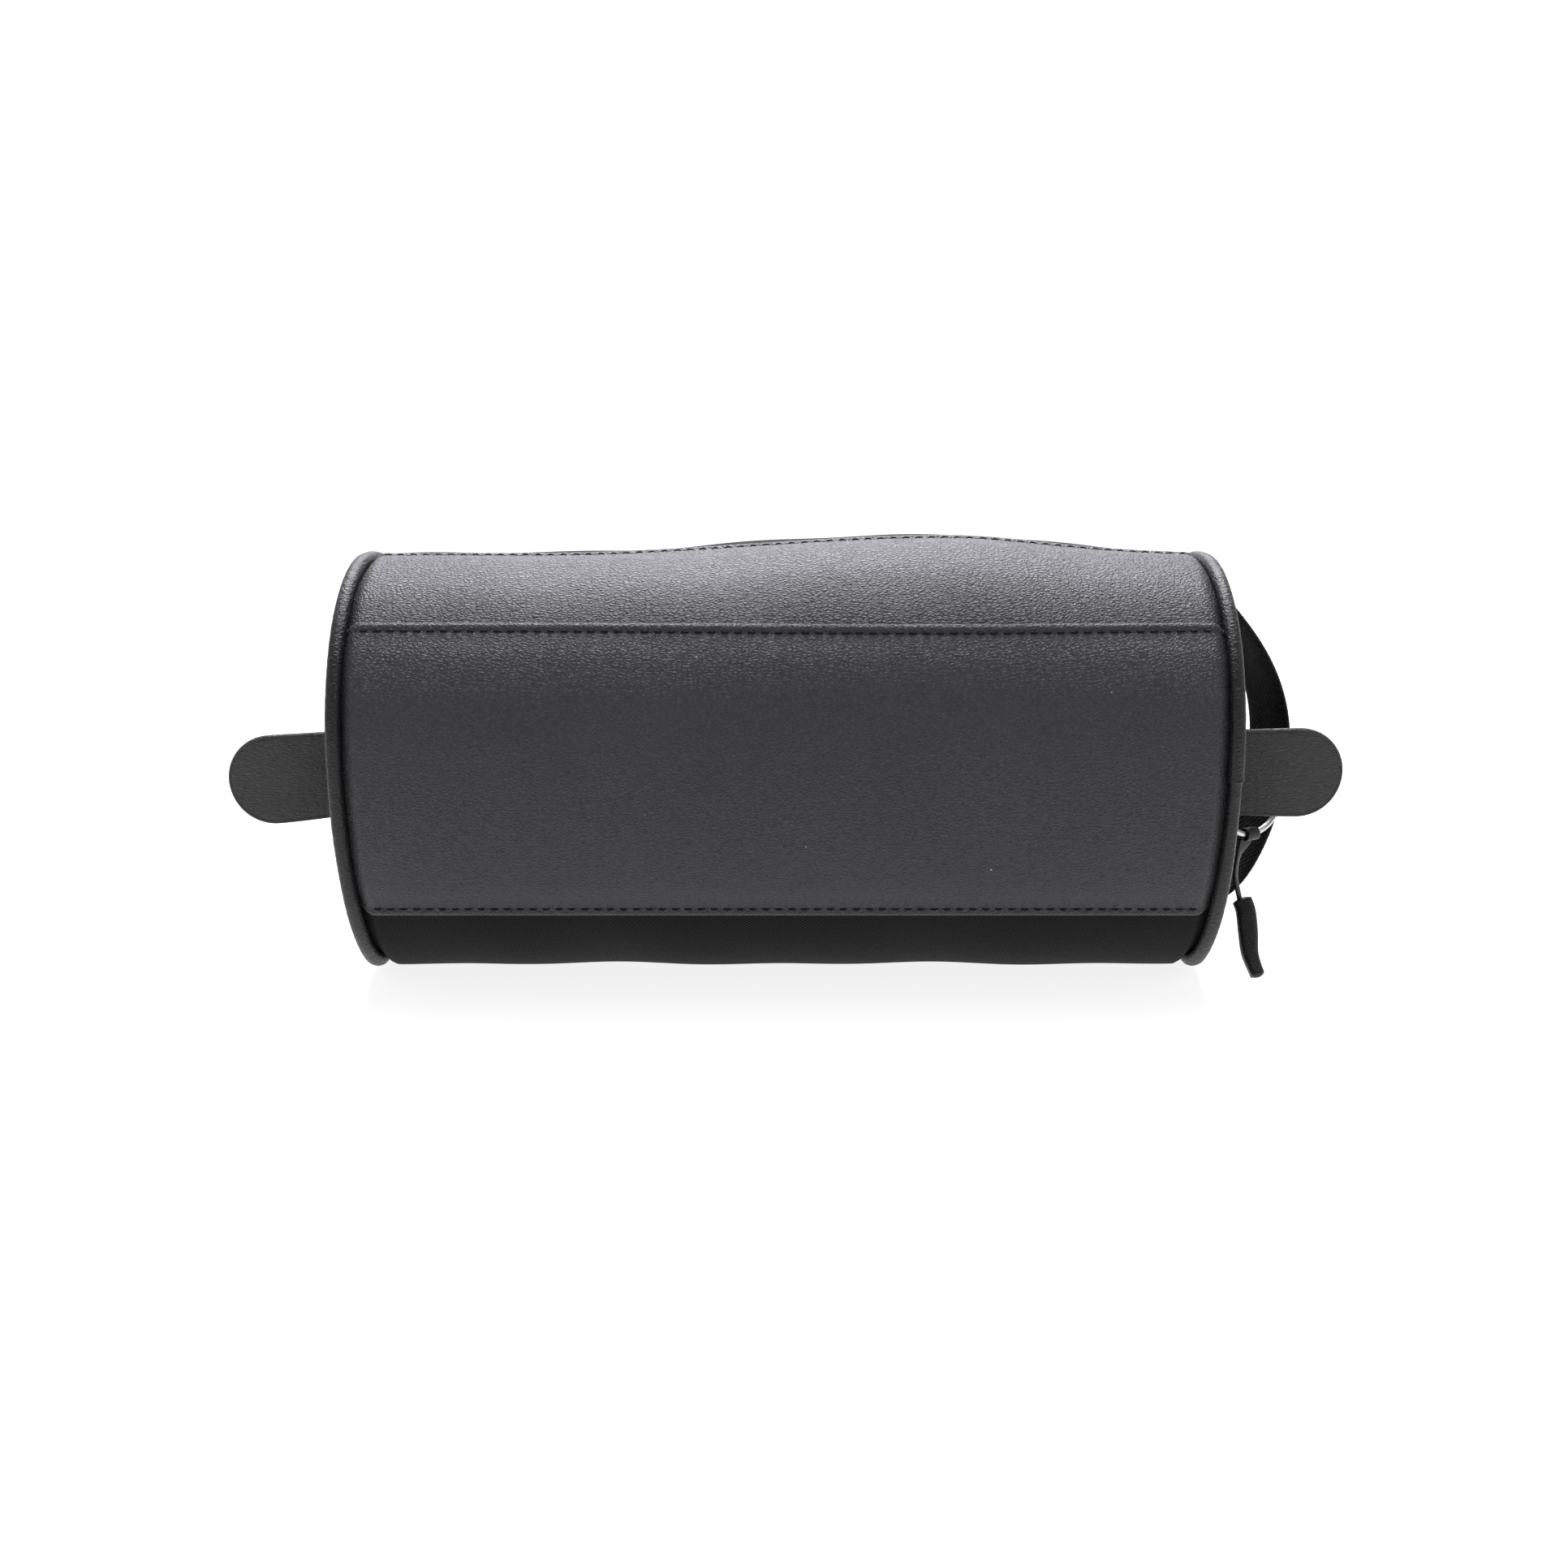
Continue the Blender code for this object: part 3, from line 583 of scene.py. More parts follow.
@dataclass(frozen=True)
class Section:
    """The rounded section, made of four quarters, and how it changes along the bag.

    A turn round it is 0 at the zip, a quarter at the top and a half at the base. The last four
    values say how square each quarter is: 2 is an ellipse and more is boxier.
    """

    base_y: float = -0.070
    zip_y: float = 0.070
    top_y: float = -0.009
    bottom_y: float = 0.005
    bottom: float = -0.0030
    bulge: float = 0.085
    zip_bulge: float = 0.072
    middle: tuple[float, float, float] = (0.0, 0.0, 0.0727)
    low_top: float = 0.1423
    top_rise: float = 0.0067
    peak_x: float = 0.052
    rim_x: float = 0.1376
    rim_inset: float = 0.0051
    dome: float = 0.0050
    crown: float = 0.1406
    zip_height: float = 0.0705
    zip_end: float = -0.0267
    softness: float = 0.0022
    left_spread: float = 0.086
    right_spread: float = 0.048
    zip_top: float = 2.2
    zip_bottom: float = 2.6
    base_top: float = 2.07
    base_bottom: float = 1.95

    def top(self, x: Points) -> Points:
        """Return the height of the outermost layer at its highest line."""
        spread = np.where(x < self.peak_x, self.left_spread, self.right_spread)
        return self.low_top + self.top_rise * np.exp(-((x - self.peak_x) / spread) ** 2)

    def point(self, turn: Points, x: Points, inset: Points, top: Points | None = None,
              floor: float = 0.0) -> Points:
        """Return points at these turns and places along the bag, inset from the outermost layer."""
        turn, x, inset = np.broadcast_arrays(turn, x, inset)
        across, up = np.cos(turn), np.sin(turn)
        top = self.top(x) if top is None else top
        y = np.where(up > 0, self.top_y, self.bottom_y)
        z = np.where(across > 0, self.zip_bulge, self.bulge)
        depth = np.where(across > 0, self.zip_y - y, y - self.base_y) - inset
        height = np.where(up > 0, top - z, z - self.bottom) - inset
        square = np.where(across > 0, np.where(up > 0, self.zip_top, self.zip_bottom),
                          np.where(up > 0, self.base_top, self.base_bottom))
        y = y + depth * signed_power(across, 2 / square)
        z = z + height * signed_power(up, 2 / square)
        over = z - floor
        z = floor + (over + np.sqrt(over ** 2 + self.softness ** 2)) / 2 - self.softness / 8
        return np.stack([x, y, np.maximum(z, floor)], -1)

    def turn_at(self, low: float, high: float, axis: int, value: Points | float, x: Points,
                inset: float) -> Points:
        """Return the turns between low and high where y (axis 1) or z (axis 2) has a value."""
        guess = np.linspace(low, high, 900)
        found = []
        places, values = np.broadcast_arrays(np.atleast_1d(x), value)
        for place, wanted in zip(places, values):
            line = self.point(guess, place, inset)[:, axis]
            order = np.argsort(line)
            found.append(np.interp(wanted, line[order], guess[order]))
        return np.array(found)

    def on_base(self, height: float, x: Points, inset: float = 0.0) -> Points:
        """Return the turns at a height on the base's side."""
        return self.turn_at(math.pi / 2, 3 * math.pi / 2 - 0.12, 2, height, x, inset)

    def on_top(self, y: Points | float, x: Points, inset: float = 0.0) -> Points:
        """Return the turns at a y on the top."""
        return self.turn_at(0.02, math.pi - 0.02, 1, y, x, inset)

    def on_zip_side(self, height: float, x: Points, inset: float = 0.0) -> Points:
        """Return the turns at a height on the zip's side."""
        return self.turn_at(-math.pi / 2 + 0.25, math.pi / 2 - 0.02, 2, height, x, inset)

    def outline(self, inset: float, turns: Points, floor: float = 0.0) -> Points:
        """Return the outline of an end as (y, z) points."""
        return self.point(turns, self.rim_x, inset, self.crown, floor)[..., 1:]

    def rim_share(self, y: Points, z: Points) -> Points:
        """Return how far (y, z) is from the middle of an end to its rim, as a share."""
        rim = self.outline(self.rim_inset, np.linspace(-math.pi, math.pi, 721), 0.0054)
        dy, dz = rim[:, 0] - self.middle[1], rim[:, 1] - self.middle[2]
        angle, reach = np.arctan2(dz, dy), np.hypot(dy, dz)
        order = np.argsort(angle)
        heading = np.arctan2(z - self.middle[2], y - self.middle[1])
        rim_reach = np.interp(heading, angle[order], reach[order], period=math.tau)
        return np.clip(np.hypot(y - self.middle[1], z - self.middle[2]) / rim_reach, 0.0, 1.15)

    def end_x(self, y: Points, z: Points) -> Points:
        """Return how far out the domed end is."""
        return self.rim_x + self.dome * (1 - self.rim_share(y, z) ** 2)


SECTION = Section()
UNDER_LAYER = 0.0017      # inset of what lies directly under the base's leather
NEIGHBOUR = 0.0004        # how far apart the points are that give a line's direction
HEM_ROWS = (0.0004, 0.0008, 0.0013, 0.0018, 0.0022, 0.0025, 0.0027, 0.0029, 0.0032, 0.0037,
            0.0044, 0.0054, 0.0066, 0.0080)   # the mesh's rows beside a folded edge
STITCH_HALF = 0.30        # half a stitch, as a share of the pitch
STITCH_ARCH = 0.00012     # how far its middle stands out
STITCH_DIVE = 0.00062     # how far its ends go in
STITCH_TAPER = 0.45       # how much thinner its ends are
THREAD_RADIUS = 0.00042
FINE_THREAD_RADIUS = 0.00026


@dataclass(frozen=True)
class Hem:
    """A folded edge with a row of stitches."""

    radius: float = 0.00065
    back: float = 0.0060
    bead: float = 0.00035
    bead_at: float = 0.0008
    bead_width: float = 0.0009
    stitch: float = 0.0027
    groove: float = 0.00026
    groove_width: float = 0.00065
    pucker: float = 0.00022
    pucker_width: float = 0.0014


@dataclass(frozen=True)
class Wrap:
    """A panel that wraps part of the section.

    start and stop give its turns for places along the bag; inset is the panel's layer.
    """

    name: str
    start: Callable[[Points], Points]
    stop: Callable[[Points], Points]
    inset: float
    first: Hem | None = None
    last: Hem | None = None
    half: float = 0.1366
    column: float = 0.0010
    row: float = 0.0024
    sink: float = 0.0046
    pillow: float = 0.0006
    pitch: float = 0.0041
    floor: float = 0.0
    waves: float = 0.00012

    def relief(self, x: Points, near: Points, far: Points) -> Points:
        """Return the lift at distances from the first and last edges."""
        lift = np.zeros(np.broadcast(x, near).shape)
        for hem, edge in ((self.first, near), (self.last, far)):
            if hem is not None:
                groove = hem.groove * hump(edge, hem.stitch, hem.groove_width)
                pucker = hem.pucker * hump(edge, hem.stitch, hem.pucker_width)
                lift = lift + hem.bead * hump(edge, hem.bead_at, hem.bead_width) - groove
                lift = lift - pucker * np.cos(math.tau * x / self.pitch)
        inner = np.minimum(near if self.first else 1.0, far if self.last else 1.0)
        lift = lift + self.pillow * smooth(inner, 0.0028, 0.012)
        swell = np.sin(61 * x + 2.1 * np.sin(23 * near)) + np.sin(118 * x - 44 * near + 1.3)
        return lift + self.waves * swell * smooth(inner, 0.003, 0.012)

    def spots(self, x: Points, share: Points, run: Points, lift: Points | float = 0.0,
              raised: bool = True) -> tuple[Points, Points]:
        """Return points and outward directions.

        Args:
            x: places along the bag, as a line.
            share: shares of the way from the first edge to the last, as a line.
            run: metres added to those shares, as a line.
            lift: metres added outwards, as a line.
            raised: True adds the relief.

        Returns:
            Points and unit directions, each rows by columns by 3.
        """
        starts, stops = self.start(x), self.stop(x)
        lift = np.broadcast_to(lift, share.shape)
        points = np.zeros((len(share), len(x), 3))
        outward = np.zeros_like(points)
        steps = np.linspace(0.0, 1.0, 500)
        for k, place in enumerate(x):
            line = SECTION.point(starts[k] + (stops[k] - starts[k]) * steps, place, self.inset)[:, 1:]
            gone = travel(line)
            length = gone[-1]
            want = share * length + run
            held = np.clip(want, 0.0, length)
            ahead = pick(np.clip(held + NEIGHBOUR, 0, length), gone, line)
            behind = pick(np.clip(held - NEIGHBOUR, 0, length), gone, line)
            tangent = unit(ahead - behind)
            spot = pick(held, gone, line) + tangent * (want - held)[:, None]
            normal = np.stack([-tangent[:, 1], tangent[:, 0]], -1)
            away = spot - np.array(SECTION.middle[1:])
            normal = normal * np.sign((normal * away).sum(-1, keepdims=True))
            rise = lift + (self.relief(place, held, length - held) if raised else 0.0)
            rise = rise - self.sink * smooth(abs(place), self.half - 0.0062, self.half) ** 1.3
            spot = spot + normal * rise[:, None]
            points[:, k] = np.concatenate([np.full((len(share), 1), place), spot], -1)
            outward[:, k, 1:] = normal
        points[..., 2] = np.maximum(points[..., 2], self.floor)
        return points, outward

    def lines(self) -> tuple[Points, Points, Points, Points]:
        """Return each row's share, extra run, lift, and 1 where the relief shows."""
        rows: list[tuple[float, float, float, float]] = []
        edge = HEM_ROWS[-1]
        for hem, share, way in ((self.first, 0.0, 1.0), (self.last, 1.0, -1.0)):
            side: list[tuple[float, float, float, float]] = []
            if hem is not None:
                r = hem.radius
                side += [(share, way * hem.back, -2 * r, 0.0), (share, way * 0.0006, -2 * r, 0.0)]
                side += [(share, -way * 0.7 * r, -1.7 * r, 0.0), (share, -way * r, -r, 0.0)]
                side += [(share, -way * 0.7 * r, -0.3 * r, 0.5), (share, 0.0, 0.0, 1.0)]
                side += [(share, way * run, 0.0, 1.0) for run in HEM_ROWS]
            else:
                side += [(share, way * run, 0.0, 1.0) for run in (0.0, 0.5 * edge)]
            if way > 0:
                rows += side
                low, high = self.start(np.zeros(1))[0], self.stop(np.zeros(1))[0]
                length = travel(SECTION.point(np.linspace(low, high, 300), 0.0, self.inset))[-1]
                count = max(3, round(length / self.row))
                rows += [(t, edge * (1 - 2 * t), 0.0, 1.0) for t in np.linspace(0, 1, count)[1:-1]]
            else:
                rows += side[::-1]
        table = np.array(rows)
        return table[:, 0], table[:, 1], table[:, 2], table[:, 3]

    def lay(self, cloth: Cloth) -> None:
        """Lay the panel's mesh."""
        x = np.linspace(-self.half, self.half, round(2 * self.half / self.column) + 1)
        share, run, lift, shown = self.lines()
        raised, _ = self.spots(x, share, run, lift, True)
        plain, _ = self.spots(x, share, run, lift, False)
        points = plain + (raised - plain) * shown[:, None, None]
        down = travel(points[:, len(x) // 2])
        cloth.grid(points, crossed(down, x)[..., ::-1])

    def seam(self, cloth: Cloth, hem: Hem, at_last: bool, half: float = 0.1325) -> int:
        """Lay a row of stitches beside a folded edge.

        Args:
            cloth: the mesh that takes the stitches.
            hem: the folded edge.
            at_last: True at the last edge, False at the first.
            half: how far the row goes each way from the middle of the bag.

        Returns:
            How many stitches were laid.
        """
        count = int(2 * half / self.pitch)
        starts = (np.arange(count) - count / 2 + 0.5) * self.pitch
        share = np.full(1, 1.0 if at_last else 0.0)
        run = np.full(1, -hem.stitch if at_last else hem.stitch)
        for begin in starts:
            x = np.linspace(begin - STITCH_HALF * self.pitch, begin + STITCH_HALF * self.pitch, 7)
            line, outward = self.spots(x, share, run)
            sew(cloth, line[0], outward[0])
        return count


def sew(cloth: Cloth, line: Points, outward: Points, radius: float = THREAD_RADIUS) -> None:
    """Lay one stitch: an arched thread whose ends dive into the cloth."""
    share = np.linspace(-1.0, 1.0, len(line))
    lift = STITCH_ARCH - STITCH_DIVE * np.abs(share) ** 4
    thick = radius * (1 - STITCH_TAPER * share ** 6)
    cloth.tube(line + outward * lift[:, None], thick, thick, outward, sides=7)


def sew_along(cloth: Cloth, path: Points, outward: Points, pitch: float = 0.0036) -> None:
    """Lay stitches all along a path of points."""
    run = travel(path)
    outward = np.broadcast_to(outward, path.shape)
    for begin in np.arange(pitch / 2, run[-1] - pitch / 2, pitch):
        want = np.linspace(begin - STITCH_HALF * pitch, begin + STITCH_HALF * pitch, 6)
        sew(cloth, pick(want, run, path), unit(pick(want, run, outward)), FINE_THREAD_RADIUS)


def resample(points: Points, step: float) -> Points:
    """Return points at an even step along a line."""
    run = travel(points)
    want = np.linspace(0.0, run[-1], max(3, round(run[-1] / step) + 1))
    return pick(want, run, points)


def rounded(points: Sequence[Sequence[float]], step: float) -> Points:
    """Return a smooth line through a few points, at an even step."""
    knots = np.array(points, float)
    ends = np.concatenate([[2 * knots[0] - knots[1]], knots, [2 * knots[-1] - knots[-2]]])
    line = []
    for before, here, there, after in zip(ends, ends[1:], ends[2:], ends[3:]):
        for t in np.linspace(0, 1, 14, endpoint=False):
            line.append(0.5 * (2 * here + (there - before) * t
                               + (2 * before - 5 * here + 4 * there - after) * t ** 2
                               + (3 * here - before - 3 * there + after) * t ** 3))
    return resample(np.array(line + [knots[-1]]), step)


# ------------------------------------------------------------------ panels

@dataclass
class Panels:
    """The base, back, front and lid panels with their stitches."""

    upper_seam: float = 0.1240
    lower_seam: float = 0.0305
    leather_edge: float = -0.0145
    edge_drift: float = 0.0045
    drift_middle: float = 0.006
    drift_start: float = 0.060
    drift_stop: float = 0.128
    lap: float = 0.0100
    slot: float = 0.0058
    lid_inset: float = 0.0032
    lid_zip_inset: float = 0.0030
    lid_top_inset: float = 0.0034
    hem: Hem = field(default_factory=Hem)
    canvas_hem: Hem = field(default_factory=lambda: Hem(radius=0.00055, bead=0.00015, groove=0.0002))

    def base(self) -> Wrap:
        """Return the base panel's wrap."""
        return Wrap("base_panel_leather", lambda x: SECTION.on_base(self.upper_seam, x),
                    lambda x: SECTION.on_base(self.lower_seam, x), 0.0, self.hem, self.hem)

    def edge(self, x: Points) -> Points:
        """Return where the back leather's far edge runs; it drifts back towards the ends."""
        drift = smooth(np.abs(x - self.drift_middle), self.drift_start, self.drift_stop)
        return self.leather_edge + self.edge_drift * drift

    def back(self) -> Wrap:
        """Return the back panel's leather."""
        return Wrap("back_panel_leather", lambda x: SECTION.on_top(self.edge(x), x, UNDER_LAYER),
                    lambda x: SECTION.on_base(self.upper_seam - self.lap, x, UNDER_LAYER),
                    UNDER_LAYER, self.hem, None, waves=0.0002)

    def front(self) -> Wrap:
        """Return the canvas front, which lies on the table and turns up to the zip."""
        height = SECTION.zip_height - self.slot
        return Wrap("front_panel_canvas",
                    lambda x: SECTION.on_base(self.lower_seam + self.lap, x, UNDER_LAYER),
                    lambda x: math.tau + SECTION.on_zip_side(height, x, UNDER_LAYER), UNDER_LAYER,
                    None, self.canvas_hem, waves=0.0003, row=0.003, column=0.0014)

    def lid(self) -> Wrap:
        """Return the canvas from under the back leather, over the top and down to the zip."""
        height = SECTION.zip_height + self.slot
        return Wrap("lid_panel_canvas",
                    lambda x: SECTION.on_zip_side(height, x, self.lid_zip_inset),
                    lambda x: SECTION.on_top(self.leather_edge - self.lap, x, self.lid_top_inset),
                    self.lid_inset, self.canvas_hem, None, waves=0.0003, row=0.003, column=0.0014)

    def build(self, leather: bpy.types.Material, canvas: bpy.types.Material,
              thread: bpy.types.Material) -> None:
        """Lay the four panels and sew their edges."""
        plan = [(self.base(), leather, Slot.LEATHER, ["base_panel"],
                 ((False, self.hem), (True, self.hem))),
                (self.back(), leather, Slot.LEATHER, ["back_leather_panel"], ((False, self.hem),)),
                (self.front(), canvas, Slot.CANVAS, ["front_panel"], ((True, self.canvas_hem),)),
                (self.lid(), canvas, Slot.CANVAS, ["lid_panel", "back_canvas_panel"],
                 ((False, self.canvas_hem),))]
        for wrap, paint, slot, nodes, seams in plan:
            cloth = Cloth()
            wrap.lay(cloth)
            piece = cloth.make(wrap.name, paint)
            sewn = Cloth()
            count = sum(wrap.seam(sewn, hem, at_last) for at_last, hem in seams)
            stitches = sewn.make(wrap.name + "_stitches", thread)
            if "lid_panel" in nodes:
                bend(piece, nodes)
                bend(stitches)
            else:
                keep(piece, Place.BAG, nodes)
                keep(stitches, Place.BAG)
            LOG.info("%s with %d stitches", wrap.name, count)


@dataclass
class EndPanel:
    """One domed end, split by the zip's slot into a part above it and a part below it."""

    side: int
    name: str
    rim_inset: float = 0.0036
    shift: float = 0.0
    dome: float = 1.0
    slot: float = 0.0055
    floor: float = 0.0040
    steps: int = 26
    along: int = 120
    turn_share: float = 0.36
    slot_round: float = 0.006
    slot_start: float = 0.0010
    spine_gap: float = 0.0004
    lip: float = 0.0011
    wave: float = 0.00014

    def surface(self, y: Points, z: Points) -> Points:
        """Return x on the end, before its side is chosen."""
        swell = SECTION.end_x(y, z) - SECTION.rim_x
        wave = self.wave * np.sin(95 * y + 2 * np.sin(70 * z)) * np.sin(80 * z + 1.0)
        return SECTION.rim_x + swell * self.dome - self.shift + wave

    def half(self, above: bool) -> tuple[Points, Points]:
        """Return the grid of one part and its slot's edge."""
        way = 1.0 if above else -1.0
        outline_turns = np.linspace(-math.pi, math.pi, 1441)
        rim = SECTION.outline(self.rim_inset, outline_turns, self.floor)
        height = SECTION.zip_height
        turns = outline_turns % math.tau
        zip_side = np.cos(turns) > 0
        first = np.argmin(np.where(zip_side, abs(rim[:, 1] - height - way * self.slot), 9))
        last = np.argmin(np.where(zip_side, 9, abs(rim[:, 1] - height)))
        begin, end = turns[first], turns[last]
        if above and begin > math.pi:
            begin -= math.tau
        if not above and begin < math.pi:
            begin += math.tau
        edge = SECTION.outline(self.rim_inset, np.linspace(begin, end, 700), self.floor)
        edge = resample(edge, 0.0002)
        share = np.linspace(0, 1, self.along)
        rim_y, rim_z = pick(share, np.linspace(0, 1, len(edge)), edge).T
        run = np.clip(share / self.turn_share, 0, 1)
        spine_y = rim_y[0] - self.slot_start + (SECTION.zip_end - rim_y[0] + self.slot_start) * run
        from_end = np.clip((spine_y - SECTION.zip_end) / self.slot_round, 0.0, 1.0)
        spine_z = height + way * self.slot * np.sqrt(from_end)
        toward = unit(np.stack([rim_y - spine_y, rim_z - spine_z], -1))
        past = share > self.turn_share
        spine_y = spine_y + np.where(past, toward[:, 0] * self.spine_gap, 0.0)
        spine_z = spine_z + np.where(past, toward[:, 1] * self.spine_gap, 0.0)
        reach = np.linspace(0, 1, self.steps)[None, :]
        y = spine_y[:, None] * (1 - reach) + rim_y[:, None] * reach
        z = spine_z[:, None] * (1 - reach) + rim_z[:, None] * reach
        points = np.stack([self.surface(y, z), y, z], -1)
        lip = points[:, :1].copy()
        lip[..., 0] -= self.lip
        points = np.concatenate([lip, points], 1)
        return points, points[:int(self.along * self.turn_share), 1]

    def build(self, paint: bpy.types.Material, slot: Slot, upper: Sequence[str], lower: Sequence[str],
              thread: bpy.types.Material | None = None) -> None:
        """Lay both parts and sew the slot's edges."""
        for above, nodes in ((True, upper), (False, lower)):
            points, edge = self.half(above)
            points = points * np.array([self.side, 1.0, 1.0])
            cloth = Cloth()
            cloth.grid(points, points[..., 1:])
            part = self.name + ("_upper" if above else "_lower")
            pieces = [cloth.make(part, paint)]
            if thread is not None:
                sewn = Cloth()
                line = edge + np.array([0.0, 0.0, 0.0022 if above else -0.0022])
                line[:, 0] = self.surface(line[:, 1], line[:, 2]) + 0.0001
                line = line * np.array([self.side, 1.0, 1.0])
                sew_along(sewn, resample(line, 0.0005), (float(self.side), 0.0, 0.0))
                pieces.append(sewn.make(part + "_stitches", thread))
            for piece in pieces:
                names = nodes if piece is pieces[0] else ()
                if above:
                    bend(piece, names)
                else:
                    keep(piece, Place.BAG, names)
        LOG.info("%s laid in two parts", self.name)


@dataclass
class Piping:
    """The wrapped cord round one end, open where the zip crosses it."""

    side: int
    name: str
    radius: float = 0.0024
    inset: float = 0.0024
    slot: float = 0.0062
    split_y: float = -0.0140
    lapped: bool = False
    lap_height: float = 0.0775
    step: float = 0.0008
    end_length: float = 0.0016

    def line(self, start: float, stop: float) -> Points:
        """Return the cord's middle line between two turns."""
        turns = np.linspace(start, stop, 1200)
        flat = SECTION.outline(self.inset, turns, self.radius)
        points = np.stack([np.full(len(turns), SECTION.rim_x * self.side), flat[:, 0], flat[:, 1]], -1)
        return resample(points, self.step)

    def radii(self, line: Points) -> Points:
        """Return the cord's radius, a little uneven, with the lapped joint if it has one."""
        run = np.arange(len(line)) * self.step
        radius = self.radius * (1 + 0.012 * np.sin(run * 190) + 0.010 * np.sin(run * 71 + 1))
        if self.lapped:
            z = line[:, 2]
            near = line[:, 1] < 0
            over = smooth(z, self.lap_height - 0.0003, self.lap_height + 0.0003)
            fade = smooth(self.lap_height + 0.016 - z, 0.0, 0.012)
            under = (1 - over) * smooth(z, 0.044, 0.060)
            lip = hump(z, self.lap_height + 0.0004, 0.0005)
            radius = radius * (1 + near * (0.06 * over * fade - 0.15 * under + 0.20 * lip))
        return radius

    def ridge(self, run: Points, turn: Points) -> Points:
        """Return the thin line that the wrapped seam raises, and fine creases across the cord."""
        raised = 0.00013 * np.exp(-((turn - 2.2) / 0.16) ** 2)
        raised = raised + 0.00009 * np.exp(-((turn - 0.9) / 0.14) ** 2)
        crease = 0.00003 * np.sin(run * 1500 + 3 * np.sin(run * 210))
        return raised + crease

    def build(self, paint: bpy.types.Material, upper: str, lower: str) -> None:
        """Lay the cord above the zip and the cord below it."""
        rim = np.full(1, SECTION.rim_x)
        zip_up = SECTION.on_zip_side(SECTION.zip_height + self.slot, rim, self.inset)[0]
        zip_low = SECTION.on_zip_side(SECTION.zip_height - self.slot, rim, self.inset)[0]
        split = SECTION.on_top(self.split_y, rim, self.inset)[0]
        for part, start, stop, node in (("upper", zip_up, split, upper),
                                        ("lower", split, zip_low + math.tau, lower)):
            line = self.line(start, stop)
            away = unit(line - np.array([SECTION.rim_x * self.side, *SECTION.middle[1:]]))
            free = np.arange(len(line)) * self.step
            if part == "lower":
                free = free[::-1]
            radius = self.radii(line) * np.sqrt(np.clip(free / self.end_length, 0.12, 1.0))
            cloth = Cloth()
            cloth.tube(line, radius, radius, away, sides=28, ridge=self.ridge)
            piece = cloth.make(f"{self.name}_{part}", paint)
            if part == "upper":
                bend(piece, [node])
            else:
                keep(piece, Place.BAG, [node])
        LOG.info("%s laid", self.name)


# ------------------------------------------------------------------ the zip and its pull

@dataclass
class Zip:
    """Two tapes and two coils that follow the ends and the far side."""

    depth: float = 0.0018
    far_y: float = 0.0648
    corner: float = 0.0120
    gap: float = 0.0014
    width: float = 0.0095
    pitch: float = 0.00125
    wire: float = 0.00030
    tape_step: float = 0.0015
    coil_steps: int = 9
    coil_middle: float = 0.00125
    coil_half: float = 0.00150
    coil_out: float = 0.00105
    coil_rise: float = 0.00078

    def path(self, step: float) -> tuple[Points, Points]:
        """Return the zip's middle line and its outward directions."""
        turn_y = self.far_y - self.corner
        y = np.linspace(SECTION.zip_end, turn_y, 90)
        x = SECTION.end_x(y, np.full(len(y), SECTION.zip_height)) - self.depth
        angle = np.linspace(0, math.pi / 2, 30)[1:]
        arc = np.stack([x[-1] - self.corner + self.corner * np.cos(angle),
                        turn_y + self.corner * np.sin(angle)], -1)
        half = np.concatenate([np.stack([x, y], -1), arc])
        plan = np.concatenate([half, (half * np.array([-1.0, 1.0]))[::-1]])
        line = resample(np.concatenate([plan, np.full((len(plan), 1), SECTION.zip_height)], 1), step)
        along = unit(np.gradient(line, axis=0))
        outward = np.stack([along[:, 1], -along[:, 0], np.zeros(len(line))], -1)
        from_middle = line - np.array([0.0, 0.02, SECTION.zip_height])
        outward = outward * np.sign((outward * from_middle).sum(-1, keepdims=True))
        return line, outward

    def tape(self, way: float) -> Cloth:
        """Return one tape, above (1) or below (-1) the middle line."""
        line, outward = self.path(self.tape_step)
        across = np.array([0.0002, 0.0010, 0.0018, 0.0022, 0.0045, 0.0070, 0.0090, 0.0109])
        lift = np.array([0.0, 0.0001, 0.0002, 0.0, -0.0001, -0.0002, -0.0003, -0.0004])
        points = (line[:, None] + outward[:, None] * lift[None, :, None]
                  + np.array([0.0, 0.0, way]) * across[None, :, None])
        cloth = Cloth()
        cloth.grid(points, crossed(np.arange(len(line)) * self.tape_step, across))
        return cloth

    def coil(self, way: float) -> Cloth:
        """Return one coil, above (1) or below (-1) the middle line."""
        line, outward = self.path(self.pitch / self.coil_steps)
        phase = np.arange(len(line)) * math.tau / self.coil_steps + (0.0 if way > 0 else math.pi)
        points = line + outward * (self.coil_out + self.coil_rise * np.sin(phase))[:, None]
        points[:, 2] += way * (self.coil_middle - self.coil_half * np.cos(phase))
        cloth = Cloth()
        cloth.tube(points, self.wire, self.wire, unit(np.gradient(line, axis=0)), sides=5)
        return cloth

    def build(self, tape: bpy.types.Material, coil: bpy.types.Material) -> None:
        """Lay the tapes and coils; the upper ones stand for the lid's parts and are baked in place."""
        bend(self.tape(1.0).make("zip_tape_upper", tape),
             ["zip_tape_lid", "zip_tape_back_left", "zip_tape_back_right"])
        keep(self.tape(-1.0).make("zip_tape_lower", tape), Place.BAG, ["zip_tape_front"])
        bend(self.coil(1.0).make("zip_coil_upper", coil),
             ["zip_coil_lid", "zip_coil_back_left", "zip_coil_back_right"])
        keep(self.coil(-1.0).make("zip_coil_lower", coil), Place.BAG, ["zip_coil_front"])
        LOG.info("zip laid")


